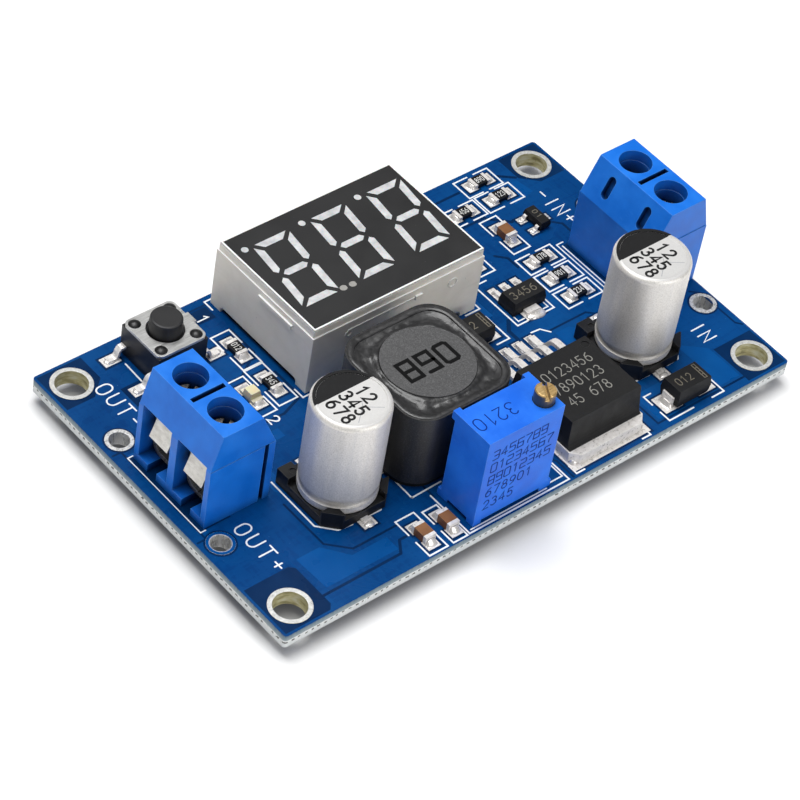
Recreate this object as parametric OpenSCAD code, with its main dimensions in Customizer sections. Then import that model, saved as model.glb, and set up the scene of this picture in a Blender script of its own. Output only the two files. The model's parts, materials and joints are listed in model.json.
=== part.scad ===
// Adjustable step-down converter module with a three-digit meter, two screw terminals and a trimmer.
// Millimetres. X runs along the board, Y across it, Z up. The origin is the centre of the four-hole
// fixing pattern on the underside of the board, so the parts stand on z = board_t.

/* [Board] */
// Length of the board along X
board_l = 66; // [64:0.5:90]
// Width of the board along Y
board_w = 39.6; // [38.5:0.1:56]
// Thickness of the board
board_t = 1.6; // [0.8:0.1:2.4]
// Radius of the board's corners
board_corner_r = 0.4; // [0.1:0.1:1.5]
// Distance of each fixing hole from the two edges beside it
fixing_inset = 2.75; // [2.6:0.05:3.5]
// Diameter of the plated fixing holes, clear of an M3 screw
fixing_hole_d = 3.4; // [2.2:0.1:3.6]
// Width of the bare metal ring round a fixing hole
fixing_ring_w = 0.48; // [0.2:0.02:0.6]
// Diameter of the plated wire holes beside the terminals
wire_hole_d = 2.1; // [1:0.1:2.6]
// Width of the tinned ring round a wire hole
wire_ring_w = 0.4; // [0.25:0.05:0.6]

/* [Screw terminals] */
// Distance between the two poles of a terminal
terminal_pitch = 5.3; // [5:0.02:6.4]
// Depth of a terminal from its wire side to its back
terminal_d = 7.8; // [7.4:0.1:9.4]
// Height of a terminal
terminal_h = 11.7; // [10.4:0.1:14]
// Height at which the sloped shoulders start
terminal_shoulder_z = 7.6; // [7:0.1:7.9]
// Run of the slope above the wire side
terminal_front_run = 1.15; // [0.5:0.05:1.5]
// Run of the slope above the back
terminal_back_run = 1.95; // [0.5:0.05:2.2]
// Wall beside the outer edge of each wire opening
terminal_wall = 0.65; // [0.5:0.05:1.2]
// Web between the two wire openings
terminal_web = 0.95; // [0.8:0.05:1.1]
// Diameter of the screwdriver wells at the top face
well_d = 3.5; // [3.3:0.05:3.8]
// Diameter of the terminal screws
screw_d = 2.9; // [2.5:0.05:3]
// Travel of a terminal screw and the clamp leaf below it
clamp_travel = 2; // [1:0.1:2.1]

/* [Meter display] */
// Length of the display housing along X
display_l = 22.2; // [22:0.1:27]
// Width of the display housing along Y
display_w = 15.2; // [14.6:0.1:18]
// Height of the display above the board
display_h = 8.4; // [7.6:0.05:10]
// Wall of the display housing
display_wall = 1.2; // [0.8:0.1:1.4]
// Distance between neighbouring digits
digit_pitch = 7.25; // [6.6:0.05:7.3]
// Height of a digit
digit_h = 9.75; // [8:0.05:9.8]
// Width of a digit
digit_w = 4.75; // [4:0.05:4.8]
// Width of a digit's strokes
stroke_w = 0.98; // [0.7:0.02:1.1]
// Lean of the digits in degrees
digit_lean = 6.5; // [0:0.5:8]

/* [Inductor] */
// Side of the square inductor
inductor_side = 13.1; // [11:0.1:13.5]
// Height of the inductor
inductor_h = 9.6; // [6.5:0.1:11]
// Radius of the inductor's upright corners
inductor_corner_r = 3; // [2:0.1:3.2]
// Diameter of the flange of the core that shows on top
core_d = 9.5; // [8:0.1:9.6]

/* [Electrolytic capacitors] */
// Diameter of a capacitor's can
can_d = 8; // [6.3:0.1:9.6]
// Height of a capacitor above the board
can_top_z = 12.8; // [8:0.1:15]
// How much wider a capacitor's square base is than its can
can_base_extra = 0.3; // [0.2:0.05:0.5]

/* [Trimmer] */
// Length of the trimmer along X
trimmer_l = 9.53; // [8.5:0.01:9.8]
// Width of the trimmer along Y
trimmer_w = 4.85; // [4.4:0.05:5.3]
// Height of the trimmer's body above the board
trimmer_h = 11.4; // [9.5:0.1:13.2]
// Diameter of the adjusting screw's head
trim_screw_d = 2.15; // [1.8:0.05:2.3]

/* [Regulator] */
// Length of the regulator's body along X
regulator_l = 9.6; // [9:0.1:10.4]
// Width of the regulator's body along Y
regulator_w = 8.7; // [8:0.1:9]
// Height of the regulator's body
regulator_h = 4.8; // [4.2:0.05:5]
// Distance between neighbouring regulator leads
regulator_pitch = 1.7; // [1.6:0.01:1.9]

/* [Push switch] */
// Side of the square switch
switch_side = 6; // [5.8:0.1:6.6]
// Height of the switch's cover plate
switch_plate_z = 3.95; // [3.5:0.05:4.5]
// Height of the button when it is up
button_top_z = 5.6; // [4.6:0.1:7]
// Diameter of the button
button_d = 3.3; // [3:0.1:3.4]
// Travel of the button
button_travel = 0.25; // [0.15:0.05:0.35]

/* [Layout from the left and front edges] */
// Centre of the output terminal
out_terminal_at = [5.75, 20.2]; // [0:0.05:66]
// Centre of the left capacitor
left_can_at = [15.45, 11.55]; // [0:0.05:66]
// Centre of the inductor
inductor_at = [27.15, 13.6]; // [0:0.05:66]
// Centre of the trimmer
trimmer_at = [28.32, 3.2]; // [0:0.05:66]
// Centre of the regulator's body
regulator_at = [41.95, 6.95]; // [0:0.05:66]
// Centre of the diode beside the inductor
switching_diode_at = [39.65, 20]; // [0:0.05:66]
// Centres of the upright resistors beside the output terminal
left_resistors_at = [[19.2, 31.85], [19.15, 26.25]];
// Centre of the indicator lamp
indicator_at = [16.5, 25.95]; // [0:0.05:66]
// Centres of the ceramic capacitors at the front edge
front_chips_at = [[18.8, 2.55], [21.75, 2.55]];

/* [Layout from the left and back edges] */
// Centre of the display
display_at = [32.3, 8.6]; // [0:0.05:66]
// Centre of the push switch
switch_at = [12.4, 4.6]; // [0:0.05:66]

/* [Layout from the right and front edges] */
// Centre of the input terminal
in_terminal_at = [3.95, 19.9]; // [0:0.05:66]
// Centre of the right capacitor
right_can_at = [12.5, 10.6]; // [0:0.05:66]
// Centre of the diode at the front edge
input_diode_at = [12.55, 2.65]; // [0:0.05:66]
// Centre of the low-power regulator
small_regulator_at = [17.8, 21.5]; // [0:0.05:66]
// Centres of the resistors between the two regulators
middle_resistors_at = [[11.85, 25.2], [11.85, 22.3], [11.85, 19.35], [19.4, 27.9]];
// Centre of the upright ceramic capacitor
meter_capacitor_at = [12.55, 30]; // [0:0.05:66]
// Centre of the transistor
transistor_at = [8.35, 29.8]; // [0:0.05:66]

/* [Layout from the right and back edges] */
// Centres of the resistors at the back edge
back_resistors_at = [[9.6, 1.95], [9.2, 4.85], [14.3, 4.85]];

/* [Hidden] */

// Smoothness of round forms, and a small amount by which a cut runs past a face
$fn = 48;
past = 0.5;

// Fits between pieces
slip = 0.05;
plating = 0.06;
wire_hole_tin = 0.16;
plating_gap = 0.01;

// Tinned pads, and the pins that pass through the board
pad_t = 0.05;
pin_below = 1.3;
joint_r = 0.95;
joint_h = 1;
joint_tip = 0.75;
drill_extra = 0.3;

// How far the sides of moulded packages lean in
mould_draft = 0.12;

// Coloured plastics and metals
plastic_blue = [0.1, 0.36, 0.85];
tin = [0.82, 0.82, 0.8];
black_resin = [0.09, 0.09, 0.1];

// Places on the board, measured from its edges
function from_left(x) = x - board_l / 2;
function from_right(x) = board_l / 2 - x;
function from_front(y) = y - board_w / 2;
function from_back(y) = board_w / 2 - y;
function left_front(p) = [from_left(p[0]), from_front(p[1])];
function left_back(p) = [from_left(p[0]), from_back(p[1])];
function right_front(p) = [from_right(p[0]), from_front(p[1])];
function right_back(p) = [from_right(p[0]), from_back(p[1])];

module on_board(p, turn = 0) {
    translate([p[0], p[1], board_t])
        rotate([0, 0, turn])
            children();
}

// Both signs of one or two coordinates
signs = [-1, 1];

// Fixing holes and wire holes
fixing_holes = [for (sx = signs, sy = signs)
    [sx * (board_l / 2 - fixing_inset), sy * (board_w / 2 - fixing_inset)]];
left_wire_x = 2.1;
right_wire_x = 1.7;
wire_holes = [
    left_front([left_wire_x, 12.4]), left_front([left_wire_x, 28.25]),
    right_front([right_wire_x, 11.1]), right_front([right_wire_x, 28.6])
];

// Flat outlines

module rounded_rect(l, w, r) {
    union() {
        square([l, w - 2 * r], center = true);
        square([l - 2 * r, w], center = true);
        for (sx = signs, sy = signs)
            translate([sx * (l / 2 - r), sy * (w / 2 - r)])
                circle(r);
    }
}

module slot_outline(l, w) {
    union() {
        square([l - w, w], center = true);
        for (s = signs)
            translate([s * (l - w) / 2, 0])
                circle(w / 2);
    }
}

// Solids that several parts share

// An outline in X and Z, drawn out along Y
module along_y(w) {
    rotate([90, 0, 0])
        linear_extrude(w, center = true)
            children();
}

// An outline in Y and Z, drawn out along X
module along_x(l) {
    rotate([90, 0, 90])
        linear_extrude(l, center = true)
            children();
}

module block(l, w, h) {
    translate([-l / 2, -w / 2, 0])
        cube([l, w, h]);
}

// A block whose four sides lean in towards its top
module drafted_block(l, w, h, draft) {
    intersection() {
        along_y(w)
            polygon([[-l / 2, 0], [l / 2, 0], [l / 2 - draft, h], [-l / 2 + draft, h]]);
        along_x(l)
            polygon([[-w / 2, 0], [w / 2, 0], [w / 2 - draft, h], [-w / 2 + draft, h]]);
    }
}

// A moulded package: two drafted halves that meet at the parting line, from the height `lift`
module moulded_package(l, w, h, line_z, lift) {
    translate([0, 0, line_z]) {
        drafted_block(l, w, h - line_z, mould_draft);
        mirror([0, 0, 1])
            drafted_block(l, w, line_z - lift, mould_draft);
    }
}

// A bend of a strip's centre line at `corner`, rounded over the distance `r` on both sides
bend_steps = 3;

function unit(v) = v / norm(v);
function bend(before, corner, after, r) =
    let (from = corner + r * unit(before - corner), to = corner + r * unit(after - corner))
        [for (i = [0:bend_steps])
            let (k = i / bend_steps)
                (1 - k) * (1 - k) * from + 2 * k * (1 - k) * corner + k * k * to];

function side_step(path, i) =
    let (d = unit(path[min(i + 1, len(path) - 1)] - path[max(i - 1, 0)]))
        [-d[1], d[0]];

// The outline of a strip of thickness `t` along a centre line
module strip(path, t) {
    last = len(path) - 1;
    polygon(concat(
        [for (i = [0:last]) path[i] + side_step(path, i) * t / 2],
        [for (i = [last:-1:0]) path[i] - side_step(path, i) * t / 2]
    ));
}

// A gull-wing lead that leaves a package at X = 0 towards +X: out at height `exit_z`, down, and along
// the pad. `run` is the length of the upper flat and `reach` the distance to the tip.
module gull_wing(exit_z, run, reach, foot, w, t, r) {
    foot_z = pad_t + t / 2;
    start = [0, exit_z];
    upper = [run, exit_z];
    lower = [reach - foot, foot_z];
    tip = [reach, foot_z];
    along_y(w)
        strip(concat([start], bend(start, upper, lower, r), bend(upper, lower, tip, r), [tip]), t);
}

// A strip that leaves a package at X = 0, turns down its end and lies under it
module wrap_lead(exit_z, foot, w, t) {
    along_y(w)
        polygon([
            [0, exit_z], [t, exit_z], [t, pad_t], [-foot, pad_t], [-foot, pad_t + t], [0, pad_t + t]
        ]);
}

// A square pin through the board, from the height `top` above the board's upper face
module board_pin(side, top) {
    translate([0, 0, -board_t - pin_below])
        block(side, side, top + board_t + pin_below);
}

// The solder cone round a square pin on the underside
module solder_cone(side) {
    translate([0, 0, -board_t])
        mirror([0, 0, 1])
            difference() {
                cylinder(h = joint_h, r1 = joint_r, r2 = side * joint_tip);
                translate([0, 0, -past])
                    block(side, side, joint_h + 2 * past);
            }
}

module pad(x, y, l, w) {
    translate([x, y, 0])
        block(l, w, pad_t);
}

function drill_d(side) = side * sqrt(2) + drill_extra;

// Board

terminal_pin_side = 0.9;
display_pin_side = 0.5;
trimmer_pin_side = 0.5;

module board_outline() {
    difference() {
        rounded_rect(board_l, board_w, board_corner_r);
        for (p = fixing_holes)
            translate(p)
                circle(d = fixing_hole_d + 2 * plating + 2 * plating_gap);
        for (p = wire_holes)
            translate(p)
                circle(d = wire_hole_d + 2 * wire_hole_tin + 2 * plating_gap);
        translate(left_front(out_terminal_at))
            for (s = signs)
                translate([terminal_well_x, s * terminal_pitch / 2])
                    circle(d = drill_d(terminal_pin_side));
        translate(right_front(in_terminal_at))
            for (s = signs)
                translate([-terminal_well_x, s * terminal_pitch / 2])
                    circle(d = drill_d(terminal_pin_side));
        translate(left_back(display_at))
            for (p = display_pin_places)
                translate(p)
                    circle(d = drill_d(display_pin_side));
        translate(left_front(trimmer_at))
            for (p = trimmer_pin_places)
                translate(p)
                    circle(d = drill_d(trimmer_pin_side));
    }
}

module circuit_board() {
    color("royalblue")
        linear_extrude(board_t)
            board_outline();
}

// The lining of a hole, `wall` thick, with its ring on both faces of the board
module plated_ring(hole_d, ring_w, wall) {
    rotate_extrude()
        translate([hole_d / 2, 0])
            polygon([
                [0, -plating], [ring_w, -plating], [ring_w, 0], [wall, 0],
                [wall, board_t], [ring_w, board_t], [ring_w, board_t + plating], [0, board_t + plating]
            ]);
}

module fixing_hole_rings() {
    color("silver")
        for (p = fixing_holes)
            translate(p)
                plated_ring(fixing_hole_d, fixing_ring_w, plating);
}

module wire_hole_rings() {
    color(tin)
        for (p = wire_holes)
            translate(p)
                plated_ring(wire_hole_d, wire_ring_w, wire_hole_tin);
}

module solder_pads() {
    color(tin) {
        place_left_can()
            can_pads();
        place_right_can()
            can_pads();
        on_board(left_front(inductor_at))
            inductor_pads();
        on_board(left_front(regulator_at))
            regulator_pads();
        on_board(left_back(switch_at))
            switch_pads();
        on_board(right_front(input_diode_at))
            diode_pads();
        on_board(left_front(switching_diode_at))
            diode_pads();
        on_board(right_front(small_regulator_at))
            small_regulator_pads();
        on_board(right_front(transistor_at))
            transistor_pads();
        on_board(left_back(display_at))
            meter_chip_pads();
        place_chips(resistor_places)
            chip_pads();
        place_chips(ceramic_places)
            chip_pads();
        place_chips([[left_front(indicator_at), 90]])
            chip_pads();
    }
}

module solder_joints() {
    color(tin) {
        on_board(left_front(out_terminal_at))
            terminal_joints();
        on_board(right_front(in_terminal_at), 180)
            terminal_joints();
        on_board(left_back(display_at))
            for (p = display_pin_places)
                translate(p)
                    solder_cone(display_pin_side);
        on_board(left_front(trimmer_at))
            for (p = trimmer_pin_places)
                translate(p)
                    solder_cone(trimmer_pin_side);
    }
}

// Screw terminals. Each is drawn with its wire side towards -X and its centre at the origin.

opening_w = terminal_pitch - terminal_web;
terminal_w = terminal_pitch + opening_w + 2 * terminal_wall;
terminal_front_x = -terminal_d / 2;
top_front_x = terminal_front_x + terminal_front_run;
top_back_x = terminal_d / 2 - terminal_back_run;
terminal_well_x = (top_front_x + top_back_x) / 2;
terminal_floor_t = 0.95;
opening_top_z = terminal_shoulder_z + 0.2;
chamber_back_x = top_back_x;
well_step = 1.25;
well_lip = 0.1;
divider_l = 3.9;
divider_w = 0.55;
divider_depth = 2.2;
floor_slot_w = 1.4;
key_groove_w = 0.5;
key_groove_depth = 0.6;
key_groove_inset = 1.3;
shoulder_step = 0.06;
slope_recess_l = 2.6;
slope_recess_w = 1;
slope_recess_depth = 0.8;

cage_t = 0.5;
cage_clearance = 0.1;
cage_w = opening_w - 2 * cage_clearance;
cage_front_x = terminal_front_x + 1.6;
cage_back_x = chamber_back_x - cage_clearance;
cage_floor_z = terminal_floor_t;
cage_corner_r = 1.2;
cage_top_t = 0.9;
cage_top_z = 5.65;
cage_top_front_x = -1.65;

leaf_w = 2.75;
leaf_t = 0.4;
leaf_rest_gap = 0.65;
leaf_z = cage_floor_z + cage_t + clamp_travel + leaf_rest_gap;
leaf_flap_h = 2.5;
leaf_lean = 0.9;
leaf_back_x = 1;
flap_foot_x = terminal_front_x + 0.4;

screw_depth = 2.4;
screw_top_z = terminal_h - screw_depth;
screw_chamfer = 0.2;
screw_slot_w = 0.6;
screw_slot_depth = 0.9;
screw_rest_turn = 35;

module terminal_profile() {
    polygon([
        [terminal_front_x, 0], [terminal_d / 2, 0], [terminal_d / 2, terminal_shoulder_z],
        [top_back_x, terminal_h], [top_front_x, terminal_h], [terminal_front_x, terminal_shoulder_z]
    ]);
}

// One pole's well, wire opening, chamber and floor slot
module terminal_pole_cut() {
    translate([terminal_well_x, 0, terminal_h - well_step])
        cylinder(h = well_step + past, d = well_d);
    translate([terminal_well_x, 0, opening_top_z - past])
        cylinder(h = terminal_h - opening_top_z, d = well_d - 2 * well_lip);
    translate([terminal_front_x - past, -opening_w / 2, terminal_floor_t])
        cube([chamber_back_x - terminal_front_x + past, opening_w, opening_top_z - terminal_floor_t]);
    translate([terminal_front_x - past, -floor_slot_w / 2, -past])
        cube([terminal_well_x + floor_slot_w / 2 - terminal_front_x + past, floor_slot_w,
              terminal_floor_t + 2 * past]);
}

// A round-ended recess on the slope above the back
module back_slope_recess() {
    slope_angle = atan2(terminal_h - terminal_shoulder_z, terminal_back_run);
    translate([(top_back_x + terminal_d / 2) / 2, 0, (terminal_h + terminal_shoulder_z) / 2])
        rotate([0, slope_angle, 0])
            translate([0, 0, -slope_recess_depth])
                linear_extrude(2 * slope_recess_depth)
                    slot_outline(slope_recess_l, slope_recess_w);
}

module terminal_housing() {
    difference() {
        intersection() {
            along_y(terminal_w)
                terminal_profile();
            union() {
                block(terminal_d, terminal_w, terminal_shoulder_z);
                block(terminal_d, terminal_w - 2 * shoulder_step, terminal_h);
            }
        }
        for (s = signs)
            translate([0, s * terminal_pitch / 2, 0]) {
                terminal_pole_cut();
                back_slope_recess();
            }
        translate([terminal_well_x - divider_l / 2, -divider_w / 2, terminal_h - divider_depth])
            cube([divider_l, divider_w, divider_depth + past]);
        translate([terminal_d / 2 - key_groove_inset, -terminal_w / 2 - past, -past])
            cube([key_groove_w, key_groove_depth + past, terminal_shoulder_z + past]);
    }
}

// The contact cage: a box with a round-cornered floor, a thick top with the screw's thread and a pin
module contact_cage() {
    cage_l = cage_back_x - cage_front_x;
    cage_h = cage_top_z - cage_floor_z;
    difference() {
        union() {
            translate([(cage_front_x + cage_back_x) / 2, 0, 0])
                along_x(cage_l)
                    difference() {
                        cage_outline(cage_w / 2, cage_floor_z, cage_top_z, cage_corner_r);
                        cage_outline(cage_w / 2 - cage_t, cage_floor_z + cage_t,
                                     cage_top_z - cage_top_t, cage_corner_r - cage_t);
                    }
            translate([terminal_well_x, 0, 0])
                board_pin(terminal_pin_side, cage_floor_z + cage_t / 2);
        }
        translate([cage_front_x - past, -cage_w / 2 + cage_t, cage_floor_z + cage_h - cage_top_t - past])
            cube([cage_top_front_x - cage_front_x + past, cage_w - 2 * cage_t, cage_top_t + 2 * past]);
        translate([terminal_well_x, 0, cage_top_z - cage_top_t - past])
            cylinder(h = cage_top_t + 2 * past, d = screw_d + 2 * slip);
    }
}

module cage_outline(half_w, low, high, r) {
    union() {
        translate([-half_w, low + r])
            square([2 * half_w, high - low - r]);
        translate([-half_w + r, low])
            square([2 * (half_w - r), high - low]);
        for (s = signs)
            translate([s * (half_w - r), low + r])
                circle(r);
    }
}

// The clamp leaf: a foot under the screw's tip, and a flap that leans out into the wire opening
module clamp_leaf() {
    along_y(leaf_w)
        polygon([
            [flap_foot_x, leaf_z], [leaf_back_x, leaf_z], [leaf_back_x, leaf_z + leaf_t],
            [flap_foot_x + 1.2 * leaf_t, leaf_z + leaf_t],
            [flap_foot_x + leaf_lean + leaf_t, leaf_z + leaf_flap_h],
            [flap_foot_x + leaf_lean, leaf_z + leaf_flap_h]
        ]);
}

module slotted_screw(d, bottom, top, chamfer, slot_w, slot_depth) {
    r = d / 2;
    difference() {
        rotate_extrude()
            polygon([
                [0, bottom], [r - chamfer, bottom], [r, bottom + chamfer],
                [r, top - chamfer], [r - chamfer, top], [0, top]
            ]);
        translate([-r - past, -slot_w / 2, top - slot_depth])
            cube([d + 2 * past, slot_w, slot_depth + past]);
    }
}

module terminal_screw() {
    translate([terminal_well_x, 0, 0])
        rotate([0, 0, screw_rest_turn])
            slotted_screw(screw_d, leaf_z + leaf_t, screw_top_z, screw_chamfer,
                          screw_slot_w, screw_slot_depth);
}

module terminal_joints() {
    for (s = signs)
        translate([terminal_well_x, s * terminal_pitch / 2, 0])
            solder_cone(terminal_pin_side);
}

// `side` is -1 for the pole at the front of the board and 1 for the one at the back
module at_out_pole(side) {
    on_board(left_front(out_terminal_at))
        translate([0, side * terminal_pitch / 2, 0])
            children();
}

module at_in_pole(side) {
    on_board(right_front(in_terminal_at), 180)
        translate([0, -side * terminal_pitch / 2, 0])
            children();
}

module out_terminal_housing() {
    color(plastic_blue)
        on_board(left_front(out_terminal_at))
            terminal_housing();
}

module out_terminal_cages() {
    color(tin)
        for (side = signs)
            at_out_pole(side)
                contact_cage();
}

module out_clamp_leaf_front() {
    color("silver")
        at_out_pole(-1)
            clamp_leaf();
}

module out_clamp_leaf_back() {
    color("silver")
        at_out_pole(1)
            clamp_leaf();
}

module out_screw_front() {
    color("goldenrod")
        at_out_pole(-1)
            terminal_screw();
}

module out_screw_back() {
    color("goldenrod")
        at_out_pole(1)
            terminal_screw();
}

module in_terminal_housing() {
    color(plastic_blue)
        on_board(right_front(in_terminal_at), 180)
            terminal_housing();
}

module in_terminal_cages() {
    color(tin)
        for (side = signs)
            at_in_pole(side)
                contact_cage();
}

module in_clamp_leaf_front() {
    color("silver")
        at_in_pole(-1)
            clamp_leaf();
}

module in_clamp_leaf_back() {
    color("silver")
        at_in_pole(1)
            clamp_leaf();
}

module in_screw_front() {
    color("goldenrod")
        at_in_pole(-1)
            terminal_screw();
}

module in_screw_back() {
    color("goldenrod")
        at_in_pole(1)
            terminal_screw();
}

// Three-digit display

face_t = 0.15;
housing_top_z = display_h - face_t;
rim_step = 0.15;
rim_z = display_h - 1;
segment_depth = 1;
potting_bottom_z = 2;
potting_top_z = display_h - 2;
segment_gap = 0.25;
side_arch_h = 0.7;
side_arch_l = display_w - 3.2;
long_arch_l = display_l - 4;
digit_offset = [0.3, 0.45];
point_r = 0.47;
point_offset = [-digit_w / 2 - 0.28, digit_h / 2 - 0.12];
display_pin_pitch = 2.54;
display_row_gap = 10.16;
display_pin_places = [for (row = signs, i = [0:5])
    [(i - 2.5) * display_pin_pitch, row * display_row_gap / 2]];

// A point of a digit moved sideways by the lean
function leaned(p) = [p[0] + p[1] * tan(digit_lean), p[1]];

// The end segment of a digit: a bar with mitred ends at the top (side 1) or the bottom (side -1)
module end_segment(side) {
    outer_x = digit_w / 2 - segment_gap;
    inner_x = digit_w / 2 - stroke_w - segment_gap;
    outer_y = side * digit_h / 2;
    inner_y = side * (digit_h / 2 - stroke_w);
    polygon([for (p = [[-outer_x, outer_y], [outer_x, outer_y], [inner_x, inner_y], [-inner_x, inner_y]])
        leaned(p)]);
}

module middle_segment() {
    tip_x = digit_w / 2 - stroke_w / 2 - segment_gap;
    flat_x = tip_x - stroke_w / 2;
    half = stroke_w / 2;
    polygon([for (p = [[-tip_x, 0], [-flat_x, half], [flat_x, half], [tip_x, 0], [flat_x, -half],
                       [-flat_x, -half]])
        leaned(p)]);
}

// An upright segment on one side (-1 left, 1 right) of the lower or upper half (-1 or 1)
module side_segment(side, half) {
    outer_x = side * digit_w / 2;
    inner_x = side * (digit_w / 2 - stroke_w);
    tip_x = side * (digit_w / 2 - stroke_w / 2);
    corner_y = half * (digit_h / 2 - segment_gap);
    inner_y = half * (digit_h / 2 - stroke_w - segment_gap);
    shoulder_y = half * (stroke_w / 2 + segment_gap);
    polygon([for (p = [[outer_x, corner_y], [inner_x, inner_y], [inner_x, shoulder_y],
                       [tip_x, half * segment_gap], [outer_x, shoulder_y]])
        leaned(p)]);
}

module digit_outline() {
    middle_segment();
    for (half = signs) {
        end_segment(half);
        for (side = signs)
            side_segment(side, half);
    }
    translate(point_offset)
        circle(point_r);
}

module display_windows() {
    translate(digit_offset)
        for (i = [-1:1])
            translate([i * digit_pitch, 0])
                digit_outline();
}

// An arch cut in the foot of a wall, with its upper corners rounded
module foot_arch(l, h) {
    union() {
        translate([-l / 2, -past])
            square([l, h - h / 2 + past]);
        translate([-l / 2 + h / 2, -past])
            square([l - h, h + past]);
        for (s = signs)
            translate([s * (l / 2 - h / 2), h / 2])
                circle(h / 2);
    }
}

module display_housing() {
    color("gainsboro")
        on_board(left_back(display_at)) {
            difference() {
                union() {
                    block(display_l, display_w, rim_z);
                    block(display_l - 2 * rim_step, display_w - 2 * rim_step, housing_top_z);
                }
                translate([0, 0, -past])
                    block(display_l - 2 * display_wall, display_w - 2 * display_wall,
                          potting_top_z + past);
                translate([0, 0, housing_top_z - segment_depth])
                    linear_extrude(segment_depth + past)
                        display_windows();
                along_x(display_l + 2 * past)
                    foot_arch(side_arch_l, side_arch_h);
                along_y(display_w + 2 * past)
                    foot_arch(long_arch_l, side_arch_h);
            }
            display_mould_marks();
        }
}

// Marks of the mould: a raised bar on the end wall; on the front wall a nib, a fine ledge that ends in a
// loop, and the ring of an ejector pin
mark_out = 0.22;
fine_out = 0.08;
mark_sunk = 0.1;

module on_front_wall(x, z) {
    translate([x, -display_w / 2 + mark_sunk, z])
        rotate([90, 0, 0])
            linear_extrude(mark_sunk + fine_out)
                children();
}

module ring_outline(outer_d, inner_d) {
    difference() {
        circle(d = outer_d);
        circle(d = inner_d);
    }
}

module display_mould_marks() {
    end_bar_l = 5.2;
    end_bar_h = 0.45;
    ledge_l = 8.6;
    translate([-display_l / 2 - mark_out, 0.7 - end_bar_l, display_h - 2.05])
        cube([mark_out + mark_sunk, end_bar_l, end_bar_h]);
    translate([2, -display_w / 2 - mark_out, display_h - 2.3])
        cube([0.9, mark_out + mark_sunk, 0.5]);
    on_front_wall(2 - ledge_l, display_h - 2.1)
        square([ledge_l, 0.14]);
    on_front_wall(2.2 - ledge_l, display_h - 2.5)
        ring_outline(0.9, 0.55);
    on_front_wall(7.1, display_h - 2.6)
        ring_outline(1.25, 0.9);
}

module display_face() {
    color([0.14, 0.14, 0.15])
        on_board(left_back(display_at))
            translate([0, 0, housing_top_z])
                linear_extrude(face_t)
                    difference() {
                        square([display_l - 2 * rim_step - 0.1, display_w - 2 * rim_step - 0.1],
                               center = true);
                        display_windows();
                    }
}

module display_segments() {
    color([0.75, 0.75, 0.73])
        on_board(left_back(display_at))
            translate([0, 0, housing_top_z - segment_depth])
                linear_extrude(segment_depth + face_t)
                    display_windows();
}

module display_potting() {
    color("dimgray")
        on_board(left_back(display_at))
            translate([0, 0, potting_bottom_z])
                block(display_l - 2 * display_wall, display_w - 2 * display_wall,
                      potting_top_z - potting_bottom_z);
}

module display_pins() {
    color(tin)
        on_board(left_back(display_at))
            for (p = display_pin_places)
                translate(p)
                    board_pin(display_pin_side, potting_bottom_z);
}

// Shielded inductor

shield_base_z = 0.9;
recess_side = inductor_side - 1.5;
recess_r = inductor_corner_r - 0.7;
recess_depth = 0.55;
core_gap = 0.3;
core_post_d = 4.6;
core_flange_t = 1.3;
core_bottom_z = shield_base_z;
winding_inset = 0.8;
winding_h = inductor_h - 2 * core_flange_t - core_bottom_z;
glue_below_rim = 0.2;
inductor_base_inset = 0.6;

module inductor_shield() {
    color([0.2, 0.2, 0.21])
        on_board(left_front(inductor_at))
            difference() {
                translate([0, 0, shield_base_z])
                    linear_extrude(inductor_h - shield_base_z)
                        rounded_rect(inductor_side, inductor_side, inductor_corner_r);
                translate([0, 0, inductor_h - recess_depth])
                    linear_extrude(recess_depth + past)
                        rounded_rect(recess_side, recess_side, recess_r);
                translate([0, 0, -past])
                    cylinder(h = inductor_h + 2 * past, d = core_d + 2 * core_gap);
            }
}

// The drum that carries the winding
module inductor_core() {
    color([0.26, 0.26, 0.27])
        on_board(left_front(inductor_at))
            rotate_extrude()
                polygon([
                    [0, core_bottom_z], [core_d / 2, core_bottom_z],
                    [core_d / 2, core_bottom_z + core_flange_t],
                    [core_post_d / 2, core_bottom_z + core_flange_t],
                    [core_post_d / 2, inductor_h - core_flange_t],
                    [core_d / 2, inductor_h - core_flange_t],
                    [core_d / 2, inductor_h], [0, inductor_h]
                ]);
}

module inductor_winding() {
    color("peru")
        on_board(left_front(inductor_at))
            translate([0, 0, core_bottom_z + core_flange_t])
                difference() {
                    cylinder(h = winding_h, d = core_d - winding_inset);
                    translate([0, 0, -past])
                        cylinder(h = inductor_h, d = core_post_d + 2 * plating_gap);
                }
}

// The glue that fills the recess round the core's flange
module inductor_adhesive() {
    color([0.07, 0.07, 0.07])
        on_board(left_front(inductor_at))
            translate([0, 0, inductor_h - recess_depth])
                linear_extrude(recess_depth - glue_below_rim)
                    difference() {
                        rounded_rect(recess_side, recess_side, recess_r);
                        circle(d = core_d + 2 * plating_gap);
                    }
}

module inductor_base() {
    color(black_resin)
        on_board(left_front(inductor_at))
            translate([0, 0, pad_t])
                difference() {
                    linear_extrude(shield_base_z - pad_t)
                        rounded_rect(inductor_side - inductor_base_inset,
                                     inductor_side - inductor_base_inset, inductor_corner_r);
                    for (s = signs)
                        translate([s * inductor_side / 2, 0, -past])
                            block(inductor_clip_depth * 2, inductor_clip_w, inductor_clip_t + past);
                }
}

inductor_clip_depth = 2;
inductor_clip_w = 5;
inductor_clip_t = 0.2;

module inductor_terminals() {
    color(tin)
        on_board(left_front(inductor_at))
            for (s = signs)
                translate([s * (inductor_side / 2 - inductor_clip_depth / 2), 0, pad_t])
                    block(inductor_clip_depth, inductor_clip_w, inductor_clip_t);
}

module inductor_pads() {
    for (s = signs)
        pad(s * (inductor_side / 2 - 0.8), 0, 2.8, 5.4);
}

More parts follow.
